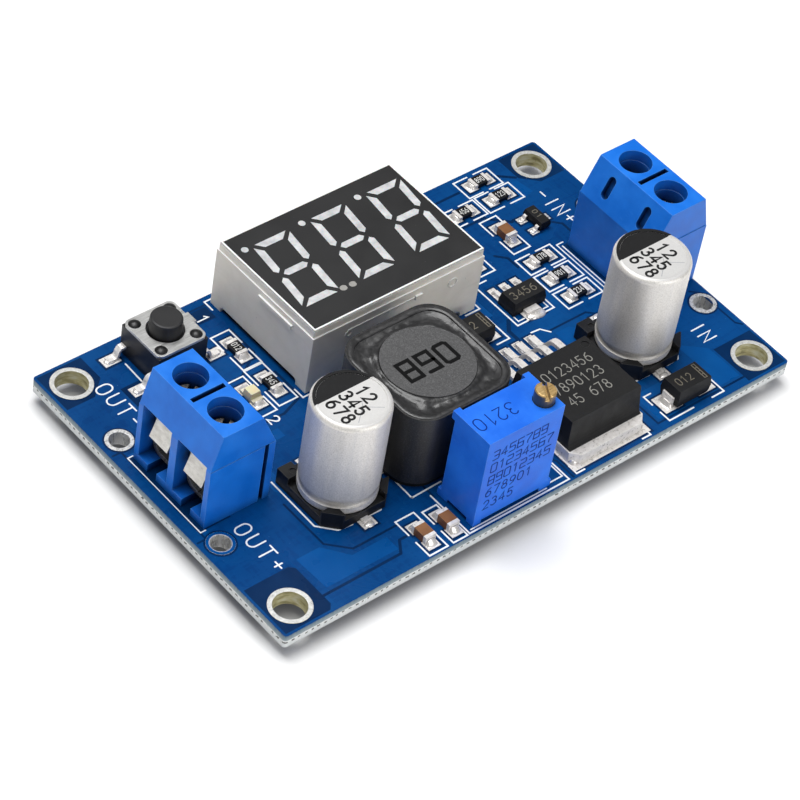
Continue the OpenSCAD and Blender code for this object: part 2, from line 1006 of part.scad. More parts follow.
// Electrolytic capacitors

can_base_side = can_d + can_base_extra;
can_base_t = 0.9;
can_base_chamfer = 1.5;
can_post_z = 2;
can_seat_z = can_base_t + 0.02;
can_edge_r = 0.55;
can_groove_z = 2.4;
can_groove_r = 0.55;
can_groove_depth = 0.28;
can_top_sunk = 0.08;
curl_r = 0.47;
can_lead_w = 0.9;
can_lead_t = 0.2;
can_lead_l = can_base_side / 2;
can_lead_out = 0.55;
can_lead_y = (can_base_side - can_lead_l) / 2 + can_lead_out;
post_window_w = can_d * 0.62;
post_window_z = can_base_t + 0.25;
post_dimple_d = 0.7;
post_dimple_depth = 0.15;

module place_left_can() {
    on_board(left_front(left_can_at))
        children();
}

module place_right_can() {
    on_board(right_front(right_can_at))
        children();
}

// The drawn can: curled foot, rolled groove, straight wall and a rounded top edge
module can_profile() {
    r = can_d / 2;
    difference() {
        union() {
            translate([0, can_seat_z])
                square([r - curl_r, can_top_z - can_seat_z]);
            translate([0, can_seat_z + curl_r])
                square([r, can_top_z - can_edge_r - can_seat_z - curl_r]);
            translate([r - curl_r, can_seat_z + curl_r])
                circle(curl_r);
            translate([0, can_top_z - can_edge_r - past])
                square([r - can_edge_r, can_edge_r + past]);
            translate([r - can_edge_r, can_top_z - can_edge_r])
                circle(can_edge_r);
        }
        translate([r + can_groove_r - can_groove_depth, can_groove_z])
            circle(can_groove_r);
        translate([0, can_top_z - can_top_sunk])
            square([r - 1.1 * can_edge_r, 1]);
        translate([-1, 0])
            square([1, can_top_z + 1]);
    }
}

module can_body() {
    rotate_extrude()
        can_profile();
}

// The moulded base: a square with two cut corners, a post at each corner and a dimple for the polarity
module can_base() {
    half = can_base_side / 2;
    difference() {
        translate([0, 0, pad_t])
            linear_extrude(can_post_z - pad_t)
                polygon([
                    [-half, half], [half, half], [half, -half + can_base_chamfer],
                    [half - can_base_chamfer, -half], [-half + can_base_chamfer, -half],
                    [-half, -half + can_base_chamfer]
                ]);
        translate([0, 0, can_base_t])
            cylinder(h = can_post_z, d = can_d + 2 * slip);
        for (turn = [0, 90])
            rotate([0, 0, turn])
                translate([0, 0, post_window_z])
                    block(can_base_side + 2 * past, post_window_w, can_post_z);
        for (s = signs)
            translate([0, s * can_lead_y, -past])
                block(can_lead_w + 2 * slip, can_lead_l + 2 * slip, can_lead_t + pad_t + past);
        translate([-half + 1.5 * post_dimple_d, half - 1.5 * post_dimple_d, can_post_z - post_dimple_depth])
            cylinder(h = 1, d = post_dimple_d);
    }
}

module can_leads() {
    for (s = signs)
        translate([0, s * can_lead_y, pad_t])
            block(can_lead_w, can_lead_l, can_lead_t);
}

module can_pads() {
    for (s = signs)
        pad(0, s * (can_base_side / 2 - 0.1), 1.6, 2.6);
}

module left_can() {
    color("silver")
        place_left_can()
            can_body();
}

module left_can_base() {
    color(black_resin)
        place_left_can()
            can_base();
}

module left_can_leads() {
    color(tin)
        place_left_can()
            can_leads();
}

module right_can() {
    color("silver")
        place_right_can()
            can_body();
}

module right_can_base() {
    color(black_resin)
        place_right_can()
            can_base();
}

module right_can_leads() {
    color(tin)
        place_right_can()
            can_leads();
}

// Trimmer

trimmer_lift = 0.45;
trim_screw_at = [trimmer_l / 2 - 1.3, -trimmer_w / 2 + 1.65];
trim_screw_out = 1.45;
trim_screw_depth = 2.2;
trim_slot_w = 0.45;
trim_slot_depth = 0.6;
trimmer_pin_places = [[-2.54, 0.6], [0, -1], [2.54, 0.6]];
lug_w = 0.8;
lug_out = 0.4;
lug_h = 1;
trimmer_foot_side = 1;
trimmer_foot_out = 0.45;
lug_y = (trimmer_w + lug_out) / 2;
trim_screw_turn = 60;
trim_screw_chamfer = 0.12;

module trimmer_body() {
    color(plastic_blue)
        on_board(left_front(trimmer_at))
            difference() {
                union() {
                    translate([0, 0, trimmer_lift])
                        block(trimmer_l, trimmer_w, trimmer_h - trimmer_lift);
                    for (s = signs)
                        translate([s * (trimmer_l - lug_w) / 2, lug_y, trimmer_h - lug_h])
                            block(lug_w, lug_out + 2 * slip, lug_h);
                    trimmer_feet();
                }
                translate([trim_screw_at[0], trim_screw_at[1], trimmer_h - trim_screw_depth])
                    cylinder(h = trim_screw_depth + past, d = trim_screw_d + 2 * slip);
            }
}

// A foot under each corner; two of them reach past the sides
module trimmer_feet() {
    foot = trimmer_foot_side;
    for (sx = signs, sy = signs)
        translate([sx * (trimmer_l - foot) / 2, sy * (trimmer_w - foot) / 2, 0])
            block(foot, foot, 2 * trimmer_lift);
    translate([-(trimmer_l - foot) / 2, (trimmer_w - foot + trimmer_foot_out) / 2, 0])
        block(foot, foot + trimmer_foot_out, 2 * trimmer_lift);
    translate([(trimmer_l - foot + trimmer_foot_out) / 2, -(trimmer_w - foot) / 2, 0])
        block(foot + trimmer_foot_out, foot, 2 * trimmer_lift);
}

module trimmer_screw() {
    color("goldenrod")
        on_board(left_front(trimmer_at))
            translate(trim_screw_at)
                rotate([0, 0, trim_screw_turn])
                    slotted_screw(trim_screw_d, trimmer_h - trim_screw_depth + slip,
                                  trimmer_h + trim_screw_out, trim_screw_chamfer, trim_slot_w,
                                  trim_slot_depth);
}

module trimmer_pins() {
    color(tin)
        on_board(left_front(trimmer_at))
            for (p = trimmer_pin_places)
                translate(p)
                    board_pin(trimmer_pin_side, trimmer_lift);
}

// Five-lead power regulator, tab towards -Y

tab_t = 1.3;
tab_l = 9.9;
tab_out = 1.45;
tab_chamfer = 0.9;
regulator_line_z = 2.4;
regulator_draft = 0.2;
regulator_flare_out = 0.6;
tab_under_body = regulator_w - 1.6;
dimple_d = 0.9;
dimple_depth = 0.15;
regulator_lead_w = 0.8;
regulator_lead_t = 0.45;
regulator_lead_run = 2.6;
regulator_lead_reach = 5.6;
regulator_lead_foot = 1.7;
regulator_lead_bend = 0.55;

module tab_outline() {
    half_l = tab_l / 2;
    front = -regulator_w / 2 - tab_out;
    polygon([
        [-half_l, tab_under_body - regulator_w / 2], [half_l, tab_under_body - regulator_w / 2],
        [half_l, front + tab_chamfer],
        [half_l - tab_chamfer, front], [-half_l + tab_chamfer, front], [-half_l, front + tab_chamfer]
    ]);
}

module regulator_body() {
    color(black_resin)
        on_board(left_front(regulator_at))
            difference() {
                union() {
                    translate([0, 0, regulator_line_z])
                        drafted_block(regulator_l, regulator_w, regulator_h - regulator_line_z,
                                      regulator_draft);
                    translate([0, 0, pad_t])
                        block(regulator_l, regulator_w, regulator_line_z - pad_t);
                    regulator_flare();
                }
                linear_extrude(pad_t + tab_t)
                    tab_outline();
                translate([regulator_l / 2 - 1.1 * dimple_d, regulator_w / 2 - 1.2 * dimple_d,
                           regulator_h - dimple_depth])
                    cylinder(h = 1, d = dimple_d);
            }
}

// The hollow curve in which the front of the body runs out onto the tab
module regulator_flare() {
    steps = 4;
    rise = regulator_line_z - tab_t;
    translate([0, -regulator_w / 2, 0])
        along_x(regulator_l)
            polygon(concat(
                [[slip, regulator_line_z], [slip, pad_t], [-regulator_flare_out, pad_t]],
                [for (i = [0:steps])
                    [-regulator_flare_out * (1 - sin(90 * i / steps)),
                     tab_t + rise * (1 - cos(90 * i / steps))]]
            ));
}

module regulator_tab() {
    color(tin)
        on_board(left_front(regulator_at))
            translate([0, 0, pad_t])
                linear_extrude(tab_t)
                    tab_outline();
}

module regulator_leads() {
    color(tin)
        on_board(left_front(regulator_at))
            for (i = [-2:2])
                translate([i * regulator_pitch, regulator_w / 2, 0])
                    rotate([0, 0, 90])
                        gull_wing(regulator_line_z, regulator_lead_run, regulator_lead_reach,
                                  regulator_lead_foot, regulator_lead_w, regulator_lead_t,
                                  regulator_lead_bend);
}

module regulator_pads() {
    pad(0, -regulator_w / 2 + 1.6, tab_l + 0.4, 7);
    for (i = [-2:2])
        pad(i * regulator_pitch, regulator_w / 2 + regulator_lead_reach - 0.9, 1, 2.8);
}

// Push switch

plate_t = 0.3;
plate_hole_d = 3.9;
plate_corner_r = 0.7;
rivet_place = 2.15;
rivet_d = 1.3;
rivet_shank_d = 0.8;
rivet_h = 0.3;
switch_well_d = 4.7;
switch_well_z = 2;
button_flange_d = 4.3;
button_flange_t = 0.6;
dome_d = 4.2;
dome_left = 0.3;
dome_rise = button_travel + dome_left;
dome_t = 0.1;
nub_d = 1.6;
plate_low_z = switch_plate_z - plate_t;
switch_lead_y = 2.4;
switch_lead_w = 0.75;
switch_lead_t = 0.25;
switch_lead_z = 1.25;
switch_nib_w = 1.4;
switch_nib_h = 0.8;
button_taper = 0.12;
button_edge = 0.2;
nub_gap = 0.02;

module switch_housing() {
    color(black_resin)
        on_board(left_back(switch_at))
            difference() {
                union() {
                    translate([0, 0, pad_t])
                        block(switch_side, switch_side, plate_low_z - pad_t);
                    for (sx = signs, sy = signs)
                        translate([sx * rivet_place, sy * rivet_place, 0]) {
                            translate([0, 0, plate_low_z - past])
                                cylinder(h = plate_t + past + 0.1, d = rivet_shank_d);
                            translate([0, 0, switch_plate_z])
                                rivet_head();
                        }
                }
                translate([0, 0, switch_well_z])
                    cylinder(h = plate_low_z, d = switch_well_d);
            }
}

module rivet_head() {
    dome_radius = (rivet_d * rivet_d / 4 + rivet_h * rivet_h) / (2 * rivet_h);
    intersection() {
        translate([0, 0, rivet_h - dome_radius])
            sphere(dome_radius);
        cylinder(h = rivet_h, d = rivet_d);
    }
}

// The bright plate, with a nib folded down on one side
module switch_cover() {
    color("silver")
        on_board(left_back(switch_at))
            union() {
                translate([0, 0, plate_low_z])
                    linear_extrude(plate_t)
                        difference() {
                            rounded_rect(switch_side, switch_side, plate_corner_r);
                            circle(d = plate_hole_d);
                            for (sx = signs, sy = signs)
                                translate([sx * rivet_place, sy * rivet_place])
                                    circle(d = rivet_shank_d + 2 * slip);
                        }
                translate([switch_side / 2 + plate_t / 2, 0, plate_low_z - switch_nib_h])
                    block(plate_t, switch_nib_w, switch_nib_h + plate_t);
            }
}

module switch_button() {
    flange_top = plate_low_z - slip;
    flange_low = flange_top - button_flange_t;
    nub_low = switch_well_z + dome_rise + nub_gap;
    color([0.07, 0.07, 0.08])
        on_board(left_back(switch_at))
            rotate_extrude()
                polygon([
                    [0, nub_low], [nub_d / 2, nub_low], [nub_d / 2, flange_low],
                    [button_flange_d / 2, flange_low], [button_flange_d / 2, flange_top],
                    [button_d / 2 + button_taper, flange_top], [button_d / 2, button_top_z - button_edge],
                    [button_d / 2 - 0.3 * button_edge, button_top_z - 0.3 * button_edge],
                    [button_d / 2 - button_edge, button_top_z], [0, button_top_z]
                ]);
}

// The spring dome below the button
module switch_dome() {
    outer_radius = (dome_d * dome_d / 4 + dome_rise * dome_rise) / (2 * dome_rise);
    color("silver")
        on_board(left_back(switch_at))
            translate([0, 0, switch_well_z])
                intersection() {
                    cylinder(h = dome_rise + past, d = dome_d);
                    difference() {
                        translate([0, 0, dome_rise - outer_radius])
                            sphere(outer_radius);
                        translate([0, 0, dome_rise - outer_radius])
                            sphere(outer_radius - dome_t);
                    }
                }
}

module switch_leads() {
    color(tin)
        on_board(left_back(switch_at))
            for (side = [0, 180], s = signs)
                rotate([0, 0, side])
                    translate([switch_side / 2, s * switch_lead_y, 0])
                        gull_wing(switch_lead_z, 0.65, 2.05, 1.1, switch_lead_w, switch_lead_t, 0.4);
}

module switch_pads() {
    for (sx = signs, sy = signs)
        pad(sx * (switch_side / 2 + 1.6), sy * switch_lead_y, 1.9, 1.3);
}

// Diodes, cathode end towards +X

diode_l = 4.5;
diode_w = 2.7;
diode_h = 2.4;
diode_lead_w = 1.5;
diode_lead_t = 0.2;
diode_line_z = 1.25;

module diode_body() {
    moulded_package(diode_l, diode_w, diode_h, diode_line_z, pad_t + diode_lead_t);
}

module diode_leads() {
    for (turn = [0, 180])
        rotate([0, 0, turn])
            translate([diode_l / 2, 0, 0])
                wrap_lead(diode_line_z, 0.9, diode_lead_w, diode_lead_t);
}

module diode_pads() {
    for (s = signs)
        pad(s * (diode_l / 2 + 0.05), 0, 2.3, 2.3);
}

module input_diode_body() {
    color(black_resin)
        on_board(right_front(input_diode_at))
            diode_body();
}

module input_diode_leads() {
    color(tin)
        on_board(right_front(input_diode_at))
            diode_leads();
}

module switching_diode_body() {
    color(black_resin)
        on_board(left_front(switching_diode_at))
            diode_body();
}

module switching_diode_leads() {
    color(tin)
        on_board(left_front(switching_diode_at))
            diode_leads();
}

// Low-power regulator and transistor

small_regulator_l = 4.4;
small_regulator_w = 2.4;
small_regulator_h = 1.6;
small_parting_z = 0.8;
small_draft = 0.15;
small_lead_pitch = 1.5;
small_lead_w = 0.48;
small_lead_t = 0.38;
small_tab_w = 1.7;
small_lead_seat = 1.2;

module small_regulator_body() {
    color(black_resin)
        on_board(right_front(small_regulator_at))
            translate([0, 0, pad_t])
                difference() {
                    union() {
                        block(small_regulator_l, small_regulator_w, small_parting_z);
                        translate([0, 0, small_parting_z])
                            drafted_block(small_regulator_l, small_regulator_w,
                                          small_regulator_h - small_parting_z, small_draft);
                    }
                    for (i = [-1:1])
                        translate([i * small_lead_pitch, small_regulator_w / 2, -past])
                            block(small_lead_w, small_lead_seat, small_lead_t + past);
                    translate([0, -small_regulator_w / 2, -past])
                        block(small_tab_w, small_lead_seat, small_lead_t + past);
                }
}

module small_regulator_leads() {
    color(tin)
        on_board(right_front(small_regulator_at))
            translate([0, 0, pad_t]) {
                for (i = [-1:1])
                    translate([i * small_lead_pitch, small_regulator_w / 2 + 0.3, 0])
                        block(small_lead_w, small_lead_seat + 0.6, small_lead_t);
                translate([0, -small_regulator_w / 2 - 0.05, 0])
                    block(small_tab_w, small_lead_seat + 0.1, small_lead_t);
            }
}

module small_regulator_pads() {
    for (i = [-1:1])
        pad(i * small_lead_pitch, small_regulator_w / 2 + 1, 0.9, 1.9);
    pad(0, -small_regulator_w / 2 - 0.3, 2.4, 1.9);
}

transistor_l = 1.4;
transistor_w = 2.9;
transistor_h = 1.1;
transistor_pitch = 1.9;
transistor_line_z = 0.55;
thin_lead_t = 0.13;

module transistor_body() {
    color(black_resin)
        on_board(right_front(transistor_at))
            moulded_package(transistor_l, transistor_w, transistor_h, transistor_line_z,
                            2 * pad_t);
}

module transistor_leads() {
    color(tin)
        on_board(right_front(transistor_at)) {
            for (s = signs)
                translate([-transistor_l / 2, s * transistor_pitch / 2, 0])
                    rotate([0, 0, 180])
                        transistor_lead();
            translate([transistor_l / 2, 0, 0])
                transistor_lead();
        }
}

module transistor_lead() {
    gull_wing(transistor_line_z, 0.15, 0.65, 0.35, 0.42, thin_lead_t, 0.1);
}

module transistor_pads() {
    for (s = signs)
        pad(-transistor_l / 2 - 0.5, s * transistor_pitch / 2, 1, 0.9);
    pad(transistor_l / 2 + 0.5, 0, 1, 0.9);
}

// Chip resistors, ceramic capacitors and the indicator. Each is drawn with its ends along X.

chip_l = 2.1;
chip_w = 1.3;
chip_end_l = 0.38;
resistor_t = 0.5;
ceramic_t = 0.95;

resistor_places = concat(
    [for (p = left_resistors_at) [left_front(p), 90]],
    [for (p = middle_resistors_at) [right_front(p), 0]],
    [for (p = back_resistors_at) [right_back(p), 0]]
);
ceramic_places = concat(
    [for (p = front_chips_at) [left_front(p), 90]],
    [[right_front(meter_capacitor_at), 90]]
);

module place_chips(places) {
    for (place = places)
        on_board(place[0], place[1])
            children();
}

module chip_core(t) {
    translate([0, 0, pad_t])
        block(chip_l - 2 * chip_end_l, chip_w, t);
}

module chip_end_pair(t) {
    for (s = signs)
        translate([s * (chip_l / 2 - chip_end_l / 2), 0, pad_t])
            block(chip_end_l, chip_w, t);
}

module chip_pads() {
    for (s = signs)
        pad(s * (chip_l / 2 + 0.15), 0, 1.25, 1.5);
}

module resistor_bodies() {
    color([0.12, 0.12, 0.12])
        place_chips(resistor_places)
            chip_core(resistor_t);
}

module ceramic_capacitor_bodies() {
    color("peru")
        place_chips(ceramic_places)
            chip_core(ceramic_t);
}

module chip_ends() {
    color(tin) {
        place_chips(resistor_places)
            chip_end_pair(resistor_t);
        place_chips(ceramic_places)
            chip_end_pair(ceramic_t);
    }
}

indicator_base_t = 0.35;
indicator_lens_l = 1.3;
indicator_lens_t = 0.6;

module indicator_base() {
    color(tin)
        place_chips([[left_front(indicator_at), 90]])
            translate([0, 0, pad_t])
                block(chip_l, chip_w, indicator_base_t);
}

module indicator_lens() {
    color("wheat")
        place_chips([[left_front(indicator_at), 90]])
            translate([0, 0, pad_t + indicator_base_t])
                drafted_block(indicator_lens_l, chip_w, indicator_lens_t, 0.1);
}

// The meter's controller, below the display

meter_chip_l = 6.5;
meter_chip_w = 4.4;
meter_chip_h = 1.05;
meter_line_z = 0.55;
meter_chip_pitch = 0.65;
meter_lead_count = 10;

module each_meter_lead() {
    for (turn = [90, -90], i = [0:meter_lead_count - 1])
        rotate([0, 0, turn])
            translate([meter_chip_w / 2, (i - (meter_lead_count - 1) / 2) * meter_chip_pitch, 0])
                children();
}

module meter_chip_body() {
    color(black_resin)
        on_board(left_back(display_at))
            moulded_package(meter_chip_l, meter_chip_w, meter_chip_h, meter_line_z, 2 * pad_t);
}

module meter_chip_leads() {
    color(tin)
        on_board(left_back(display_at))
            each_meter_lead()
                gull_wing(meter_line_z, 0.25, 1, 0.5, 0.24, thin_lead_t, 0.15);
}

module meter_chip_pads() {
    each_meter_lead()
        pad(0.75, 0, 1.1, 0.35);
}

circuit_board();
fixing_hole_rings();
wire_hole_rings();
solder_pads();
solder_joints();
out_terminal_housing();
out_terminal_cages();
out_clamp_leaf_front();
out_clamp_leaf_back();
out_screw_front();
out_screw_back();
in_terminal_housing();
in_terminal_cages();
in_clamp_leaf_front();
in_clamp_leaf_back();
in_screw_front();
in_screw_back();
display_housing();
display_face();
display_segments();
display_potting();
display_pins();
inductor_shield();
inductor_core();
inductor_winding();
inductor_adhesive();
inductor_base();
inductor_terminals();
left_can();
left_can_base();
left_can_leads();
right_can();
right_can_base();
right_can_leads();
trimmer_body();
trimmer_screw();
trimmer_pins();
regulator_body();
regulator_tab();
regulator_leads();
switch_housing();
switch_cover();
switch_button();
switch_dome();
switch_leads();
input_diode_body();
input_diode_leads();
switching_diode_body();
switching_diode_leads();
small_regulator_body();
small_regulator_leads();
transistor_body();
transistor_leads();
resistor_bodies();
ceramic_capacitor_bodies();
chip_ends();
indicator_base();
indicator_lens();
meter_chip_body();
meter_chip_leads();
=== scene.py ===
from math import asin, cos, degrees, dist, exp, hypot, pi, radians, sin, sqrt
import bmesh
import bpy
from mathutils import Matrix, Vector
from mathutils.noise import noise
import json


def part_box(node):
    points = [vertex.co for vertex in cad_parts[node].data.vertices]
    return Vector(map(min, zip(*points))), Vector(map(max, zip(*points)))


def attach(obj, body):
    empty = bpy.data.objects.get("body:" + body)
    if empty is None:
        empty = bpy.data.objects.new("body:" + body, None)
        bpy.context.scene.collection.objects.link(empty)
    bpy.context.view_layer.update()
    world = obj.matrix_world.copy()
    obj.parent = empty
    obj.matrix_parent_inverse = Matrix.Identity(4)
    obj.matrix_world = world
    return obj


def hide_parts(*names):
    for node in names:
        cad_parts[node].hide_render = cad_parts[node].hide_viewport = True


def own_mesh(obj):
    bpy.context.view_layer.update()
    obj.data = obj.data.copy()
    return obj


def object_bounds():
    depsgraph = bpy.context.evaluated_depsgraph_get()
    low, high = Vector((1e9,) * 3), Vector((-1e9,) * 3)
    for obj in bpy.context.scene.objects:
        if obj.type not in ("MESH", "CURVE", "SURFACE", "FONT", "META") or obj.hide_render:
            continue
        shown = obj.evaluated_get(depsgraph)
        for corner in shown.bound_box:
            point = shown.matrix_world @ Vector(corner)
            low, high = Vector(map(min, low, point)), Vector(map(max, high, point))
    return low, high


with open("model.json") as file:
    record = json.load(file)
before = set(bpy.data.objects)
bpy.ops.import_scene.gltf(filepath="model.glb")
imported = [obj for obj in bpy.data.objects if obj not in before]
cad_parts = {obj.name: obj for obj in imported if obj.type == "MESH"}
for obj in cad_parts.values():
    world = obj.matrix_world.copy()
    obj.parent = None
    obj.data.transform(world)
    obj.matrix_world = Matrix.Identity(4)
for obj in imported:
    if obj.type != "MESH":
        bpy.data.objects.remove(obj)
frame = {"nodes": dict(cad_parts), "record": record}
cad_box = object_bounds()
nodes = frame["nodes"]
scene = bpy.context.scene

# Sizes in millimetres. Places on the board are counted from its left front corner, heights from its top face.

MM = 0.001
BOARD_L = 66
BOARD_W = 39.6
BOARD_T = 1.6
FIXING_HOLES = ((2.75, 2.75), (63.25, 2.75), (2.75, 36.85), (63.25, 36.85))
WIRE_HOLES = ((2.1, 12.4), (2.1, 28.25), (64.3, 11.1), (64.3, 28.6))


def at(x, y, z=0):
    """A place on the board as a point of the frame, in metres."""
    return Vector(((x - BOARD_L / 2) * MM, (y - BOARD_W / 2) * MM, (z + BOARD_T) * MM))


def on_board(point):
    """A point of the frame as a place on the board."""
    return [c / MM + shift for c, shift in zip(point, (BOARD_L / 2, BOARD_W / 2, -BOARD_T))]


def box_of(name):
    """A node's box in millimetres on the board: left, front, low, right, back, high."""
    low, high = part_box(name)
    return on_board(low) + on_board(high)


def middle(name):
    x0, y0, _, x1, y1, _ = box_of(name)
    return (x0 + x1) / 2, (y0 + y1) / 2


def top_of(name):
    return box_of(name)[5]


def tint(value):
    """A screen colour of three numbers up to 255, or a grey level, as the linear colour that a shader takes."""
    if not isinstance(value, tuple):
        return (value, value, value, 1)
    shares = [c / 255 for c in value]
    return (*[c / 12.92 if c <= 0.04045 else ((c + 0.055) / 1.055) ** 2.4 for c in shares], 1)


def is_socket(value):
    return hasattr(value, "is_output")


# Materials

paints = {}


class Tree:
    """A node tree, with short names for the nodes it needs."""

    def __init__(self, tree):
        self.tree = tree
        tree.nodes.clear()

    def node(self, kind, sockets=None, **values):
        made = self.tree.nodes.new("ShaderNode" + kind)
        for key, value in values.items():
            setattr(made, key, value)
        for key, value in (sockets or {}).items():
            self.put(made.inputs[key], value)
        return made

    def put(self, socket, value):
        if is_socket(value):
            self.tree.links.new(value, socket)
        else:
            socket.default_value = value

    def place(self, x=1000, y=1000, z=1000):
        """Object coordinates in millimetres, stretched where a factor is less than 1000."""
        spot = self.node("TexCoord").outputs["Object"]
        return self.node("Mapping", {"Vector": spot, "Scale": (x, y, z)}).outputs[0]

    def axis(self, name, vector=None):
        """One coordinate of the place, or of another vector."""
        return self.node("SeparateXYZ", {0: vector or self.place()}).outputs[name]

    def flat(self, share, both=False):
        """1 on faces that look up by more than share, or up or down."""
        up = self.axis("Z", self.node("NewGeometry").outputs["Normal"])
        return self.calc("GREATER_THAN", self.calc("ABSOLUTE", up) if both else up, share)

    def noise(self, scale, detail=3, where=None, rough=0.55, distortion=0):
        sockets = {"Vector": where or self.place(), "Scale": scale, "Detail": detail, "Roughness": rough,
                   "Distortion": distortion}
        return self.node("TexNoise", sockets).outputs["Fac"]

    def weave(self):
        """The cloth below the solder mask, its threads both ways."""
        return self.calc("ADD", self.noise(1, 2, self.place(2600, 420)), self.noise(1, 2, self.place(420, 2600)))

    def ramp(self, fac, *stops):
        """Stops are (place, colour) or (place, grey level)."""
        made = self.node("ValToRGB", {"Fac": fac})
        band = made.color_ramp
        while len(band.elements) < len(stops):
            band.elements.new(0.5)
        for element, (where, colour) in zip(band.elements, stops):
            element.position = where
            element.color = tint(colour)
        return made.outputs["Color"]

    def mix(self, fac, a, b, blend="MIX"):
        a, b = (c if is_socket(c) else tint(c) for c in (a, b))
        return self.node("Mix", {0: fac, 6: a, 7: b}, data_type="RGBA", blend_type=blend).outputs[2]

    def over(self, colour, fac, low, high, share, tone):
        """The colour with tone laid over it where fac is above low, up to its share at high."""
        return self.mix(self.ramp(fac, (low, 0), (high, share)), colour, tone)

    def calc(self, operation, a, b=0, clamp=False):
        return self.node("Math", {0: a, 1: b}, operation=operation, use_clamp=clamp).outputs[0]

    def times(self, a, b):
        return self.calc("MULTIPLY", a, b)

    def painted_shade_in_hollows(self, reach, floor):
        """A factor for painted shade: 1 in the open, down to floor inside holes and corners narrower than reach in
        millimetres.
        """
        made = self.node("AmbientOcclusion", {"Distance": reach * MM}, samples=10)
        return self.ramp(made.outputs["AO"], (0.2, floor), (0.8, 1))


class Paint(Tree):
    """A node material around one principled shader. Edges look rounded by edge millimetres, and near tells them, for
    the painted edge highlights of some materials.
    """

    def __init__(self, name, rough, metal=0, edge=0, spec=0.5, **sockets):
        material = paints[name] = bpy.data.materials.new(name)
        material.use_nodes = True
        super().__init__(material.node_tree)
        named = {key.replace("_", " "): value for key, value in sockets.items()}
        named |= {"Roughness": rough, "Metallic": metal, "Specular IOR Level": spec}
        self.shader = self.node("BsdfPrincipled", named)
        self.node("OutputMaterial", {"Surface": self.shader.outputs[0]})
        self.normal = None
        if edge:
            self.normal = self.node("Bevel", {"Radius": edge * MM}, samples=6).outputs[0]
            plain = self.node("NewGeometry").outputs["Normal"]
            dot = self.node("VectorMath", {0: self.normal, 1: plain}, operation="DOT_PRODUCT")
            near = self.calc("SUBTRACT", 1, dot.outputs["Value"], True)
            self.near = self.calc("MULTIPLY", near, 6, True)

    def bump(self, *heights):
        """Each height is (socket, strength, depth in mm)."""
        for height, strength, depth in heights:
            made = self.node("Bump", {"Strength": strength, "Distance": depth * MM, "Height": height})
            if self.normal is not None:
                self.put(made.inputs["Normal"], self.normal)
            self.normal = made.outputs[0]

    def finish(self, colour, fac=None, low=None, high=None, start=0.3):
        """Sets the colour, and the roughness as fac, or from low to high as fac goes from start to 0.7."""
        self.put(self.shader.inputs["Base Color"], colour)
        if low is not None:
            fac = self.ramp(fac, (start, low), (0.7, high))
        if fac is not None:
            self.put(self.shader.inputs["Roughness"], fac)
        if self.normal is not None:
            self.put(self.shader.inputs["Normal"], self.normal)


def moulded(name, base, shade, light, rough=0.4, edge=0.07, grain=9, texture=0.012, hollow_shade=None, **sockets):
    """A moulded plastic: slight clouds of tone, a fine skin, faint rubs, paler edges that are partly wear and partly
    a painted highlight, and painted shade in hollows where asked.
    """
    p = Paint(name, rough, edge=edge, **sockets)
    cloud = p.noise(0.35)
    rub = p.noise(1, 5, p.place(9000, 700, 2500), 0.7)
    colour = p.over(shade, cloud, 0.35, 0.7, 1, base)
    colour = p.over(colour, rub, 0.62, 0.78, 0.35, light)
    # Paler edges: partly wear, partly a painted highlight.
    colour = p.mix(p.times(p.near, p.ramp(p.noise(1.3, 4), (0.25, 0.35), (0.7, 1))), colour, light)
    # Painted shade inside wells and hollows, where asked.
    if hollow_shade:
        colour = p.mix(1, colour, p.painted_shade_in_hollows(*hollow_shade), "MULTIPLY")
    p.bump((p.noise(grain, 4), 0.35, texture), (rub, 0.12, texture))
    p.finish(colour, cloud, rough - 0.07, rough + 0.08)


def metal(name, base, shade, rough=0.3, edge=0.04, grain=(7000, 7000, 7000), bump=0.25, spots=0,
          dirt=0.2, shine=0.8, hollow_shade=None, side_shade=None):
    """A metal with a grain along one way, tone that wanders, a few spots of dirt colour, painted shade on sides that
    do not face up where a side colour is given, and painted shade in hollows where asked.
    """
    p = Paint(name, rough, shine, edge)
    brushed = p.noise(1, 4, p.place(*grain), 0.6)
    colour = p.over(shade, brushed, 0.3, 0.7, 1, base)
    colour = p.over(colour, p.noise(0.9), 0.45, 0.75, 0.5, shade)
    if spots:
        colour = p.over(colour, p.noise(3.2, 2), 0.64, 0.72, spots, dirt)
    # Sides that do not face up take a darker colour: painted shade.
    if side_shade:
        colour = p.mix(p.flat(0.3), side_shade, colour)
    # Painted shade inside hollows.
    if hollow_shade:
        colour = p.mix(1, colour, p.painted_shade_in_hollows(*hollow_shade), "MULTIPLY")
    p.bump((brushed, bump, 0.01))
    p.finish(colour, brushed, rough - 0.06, rough + 0.1)


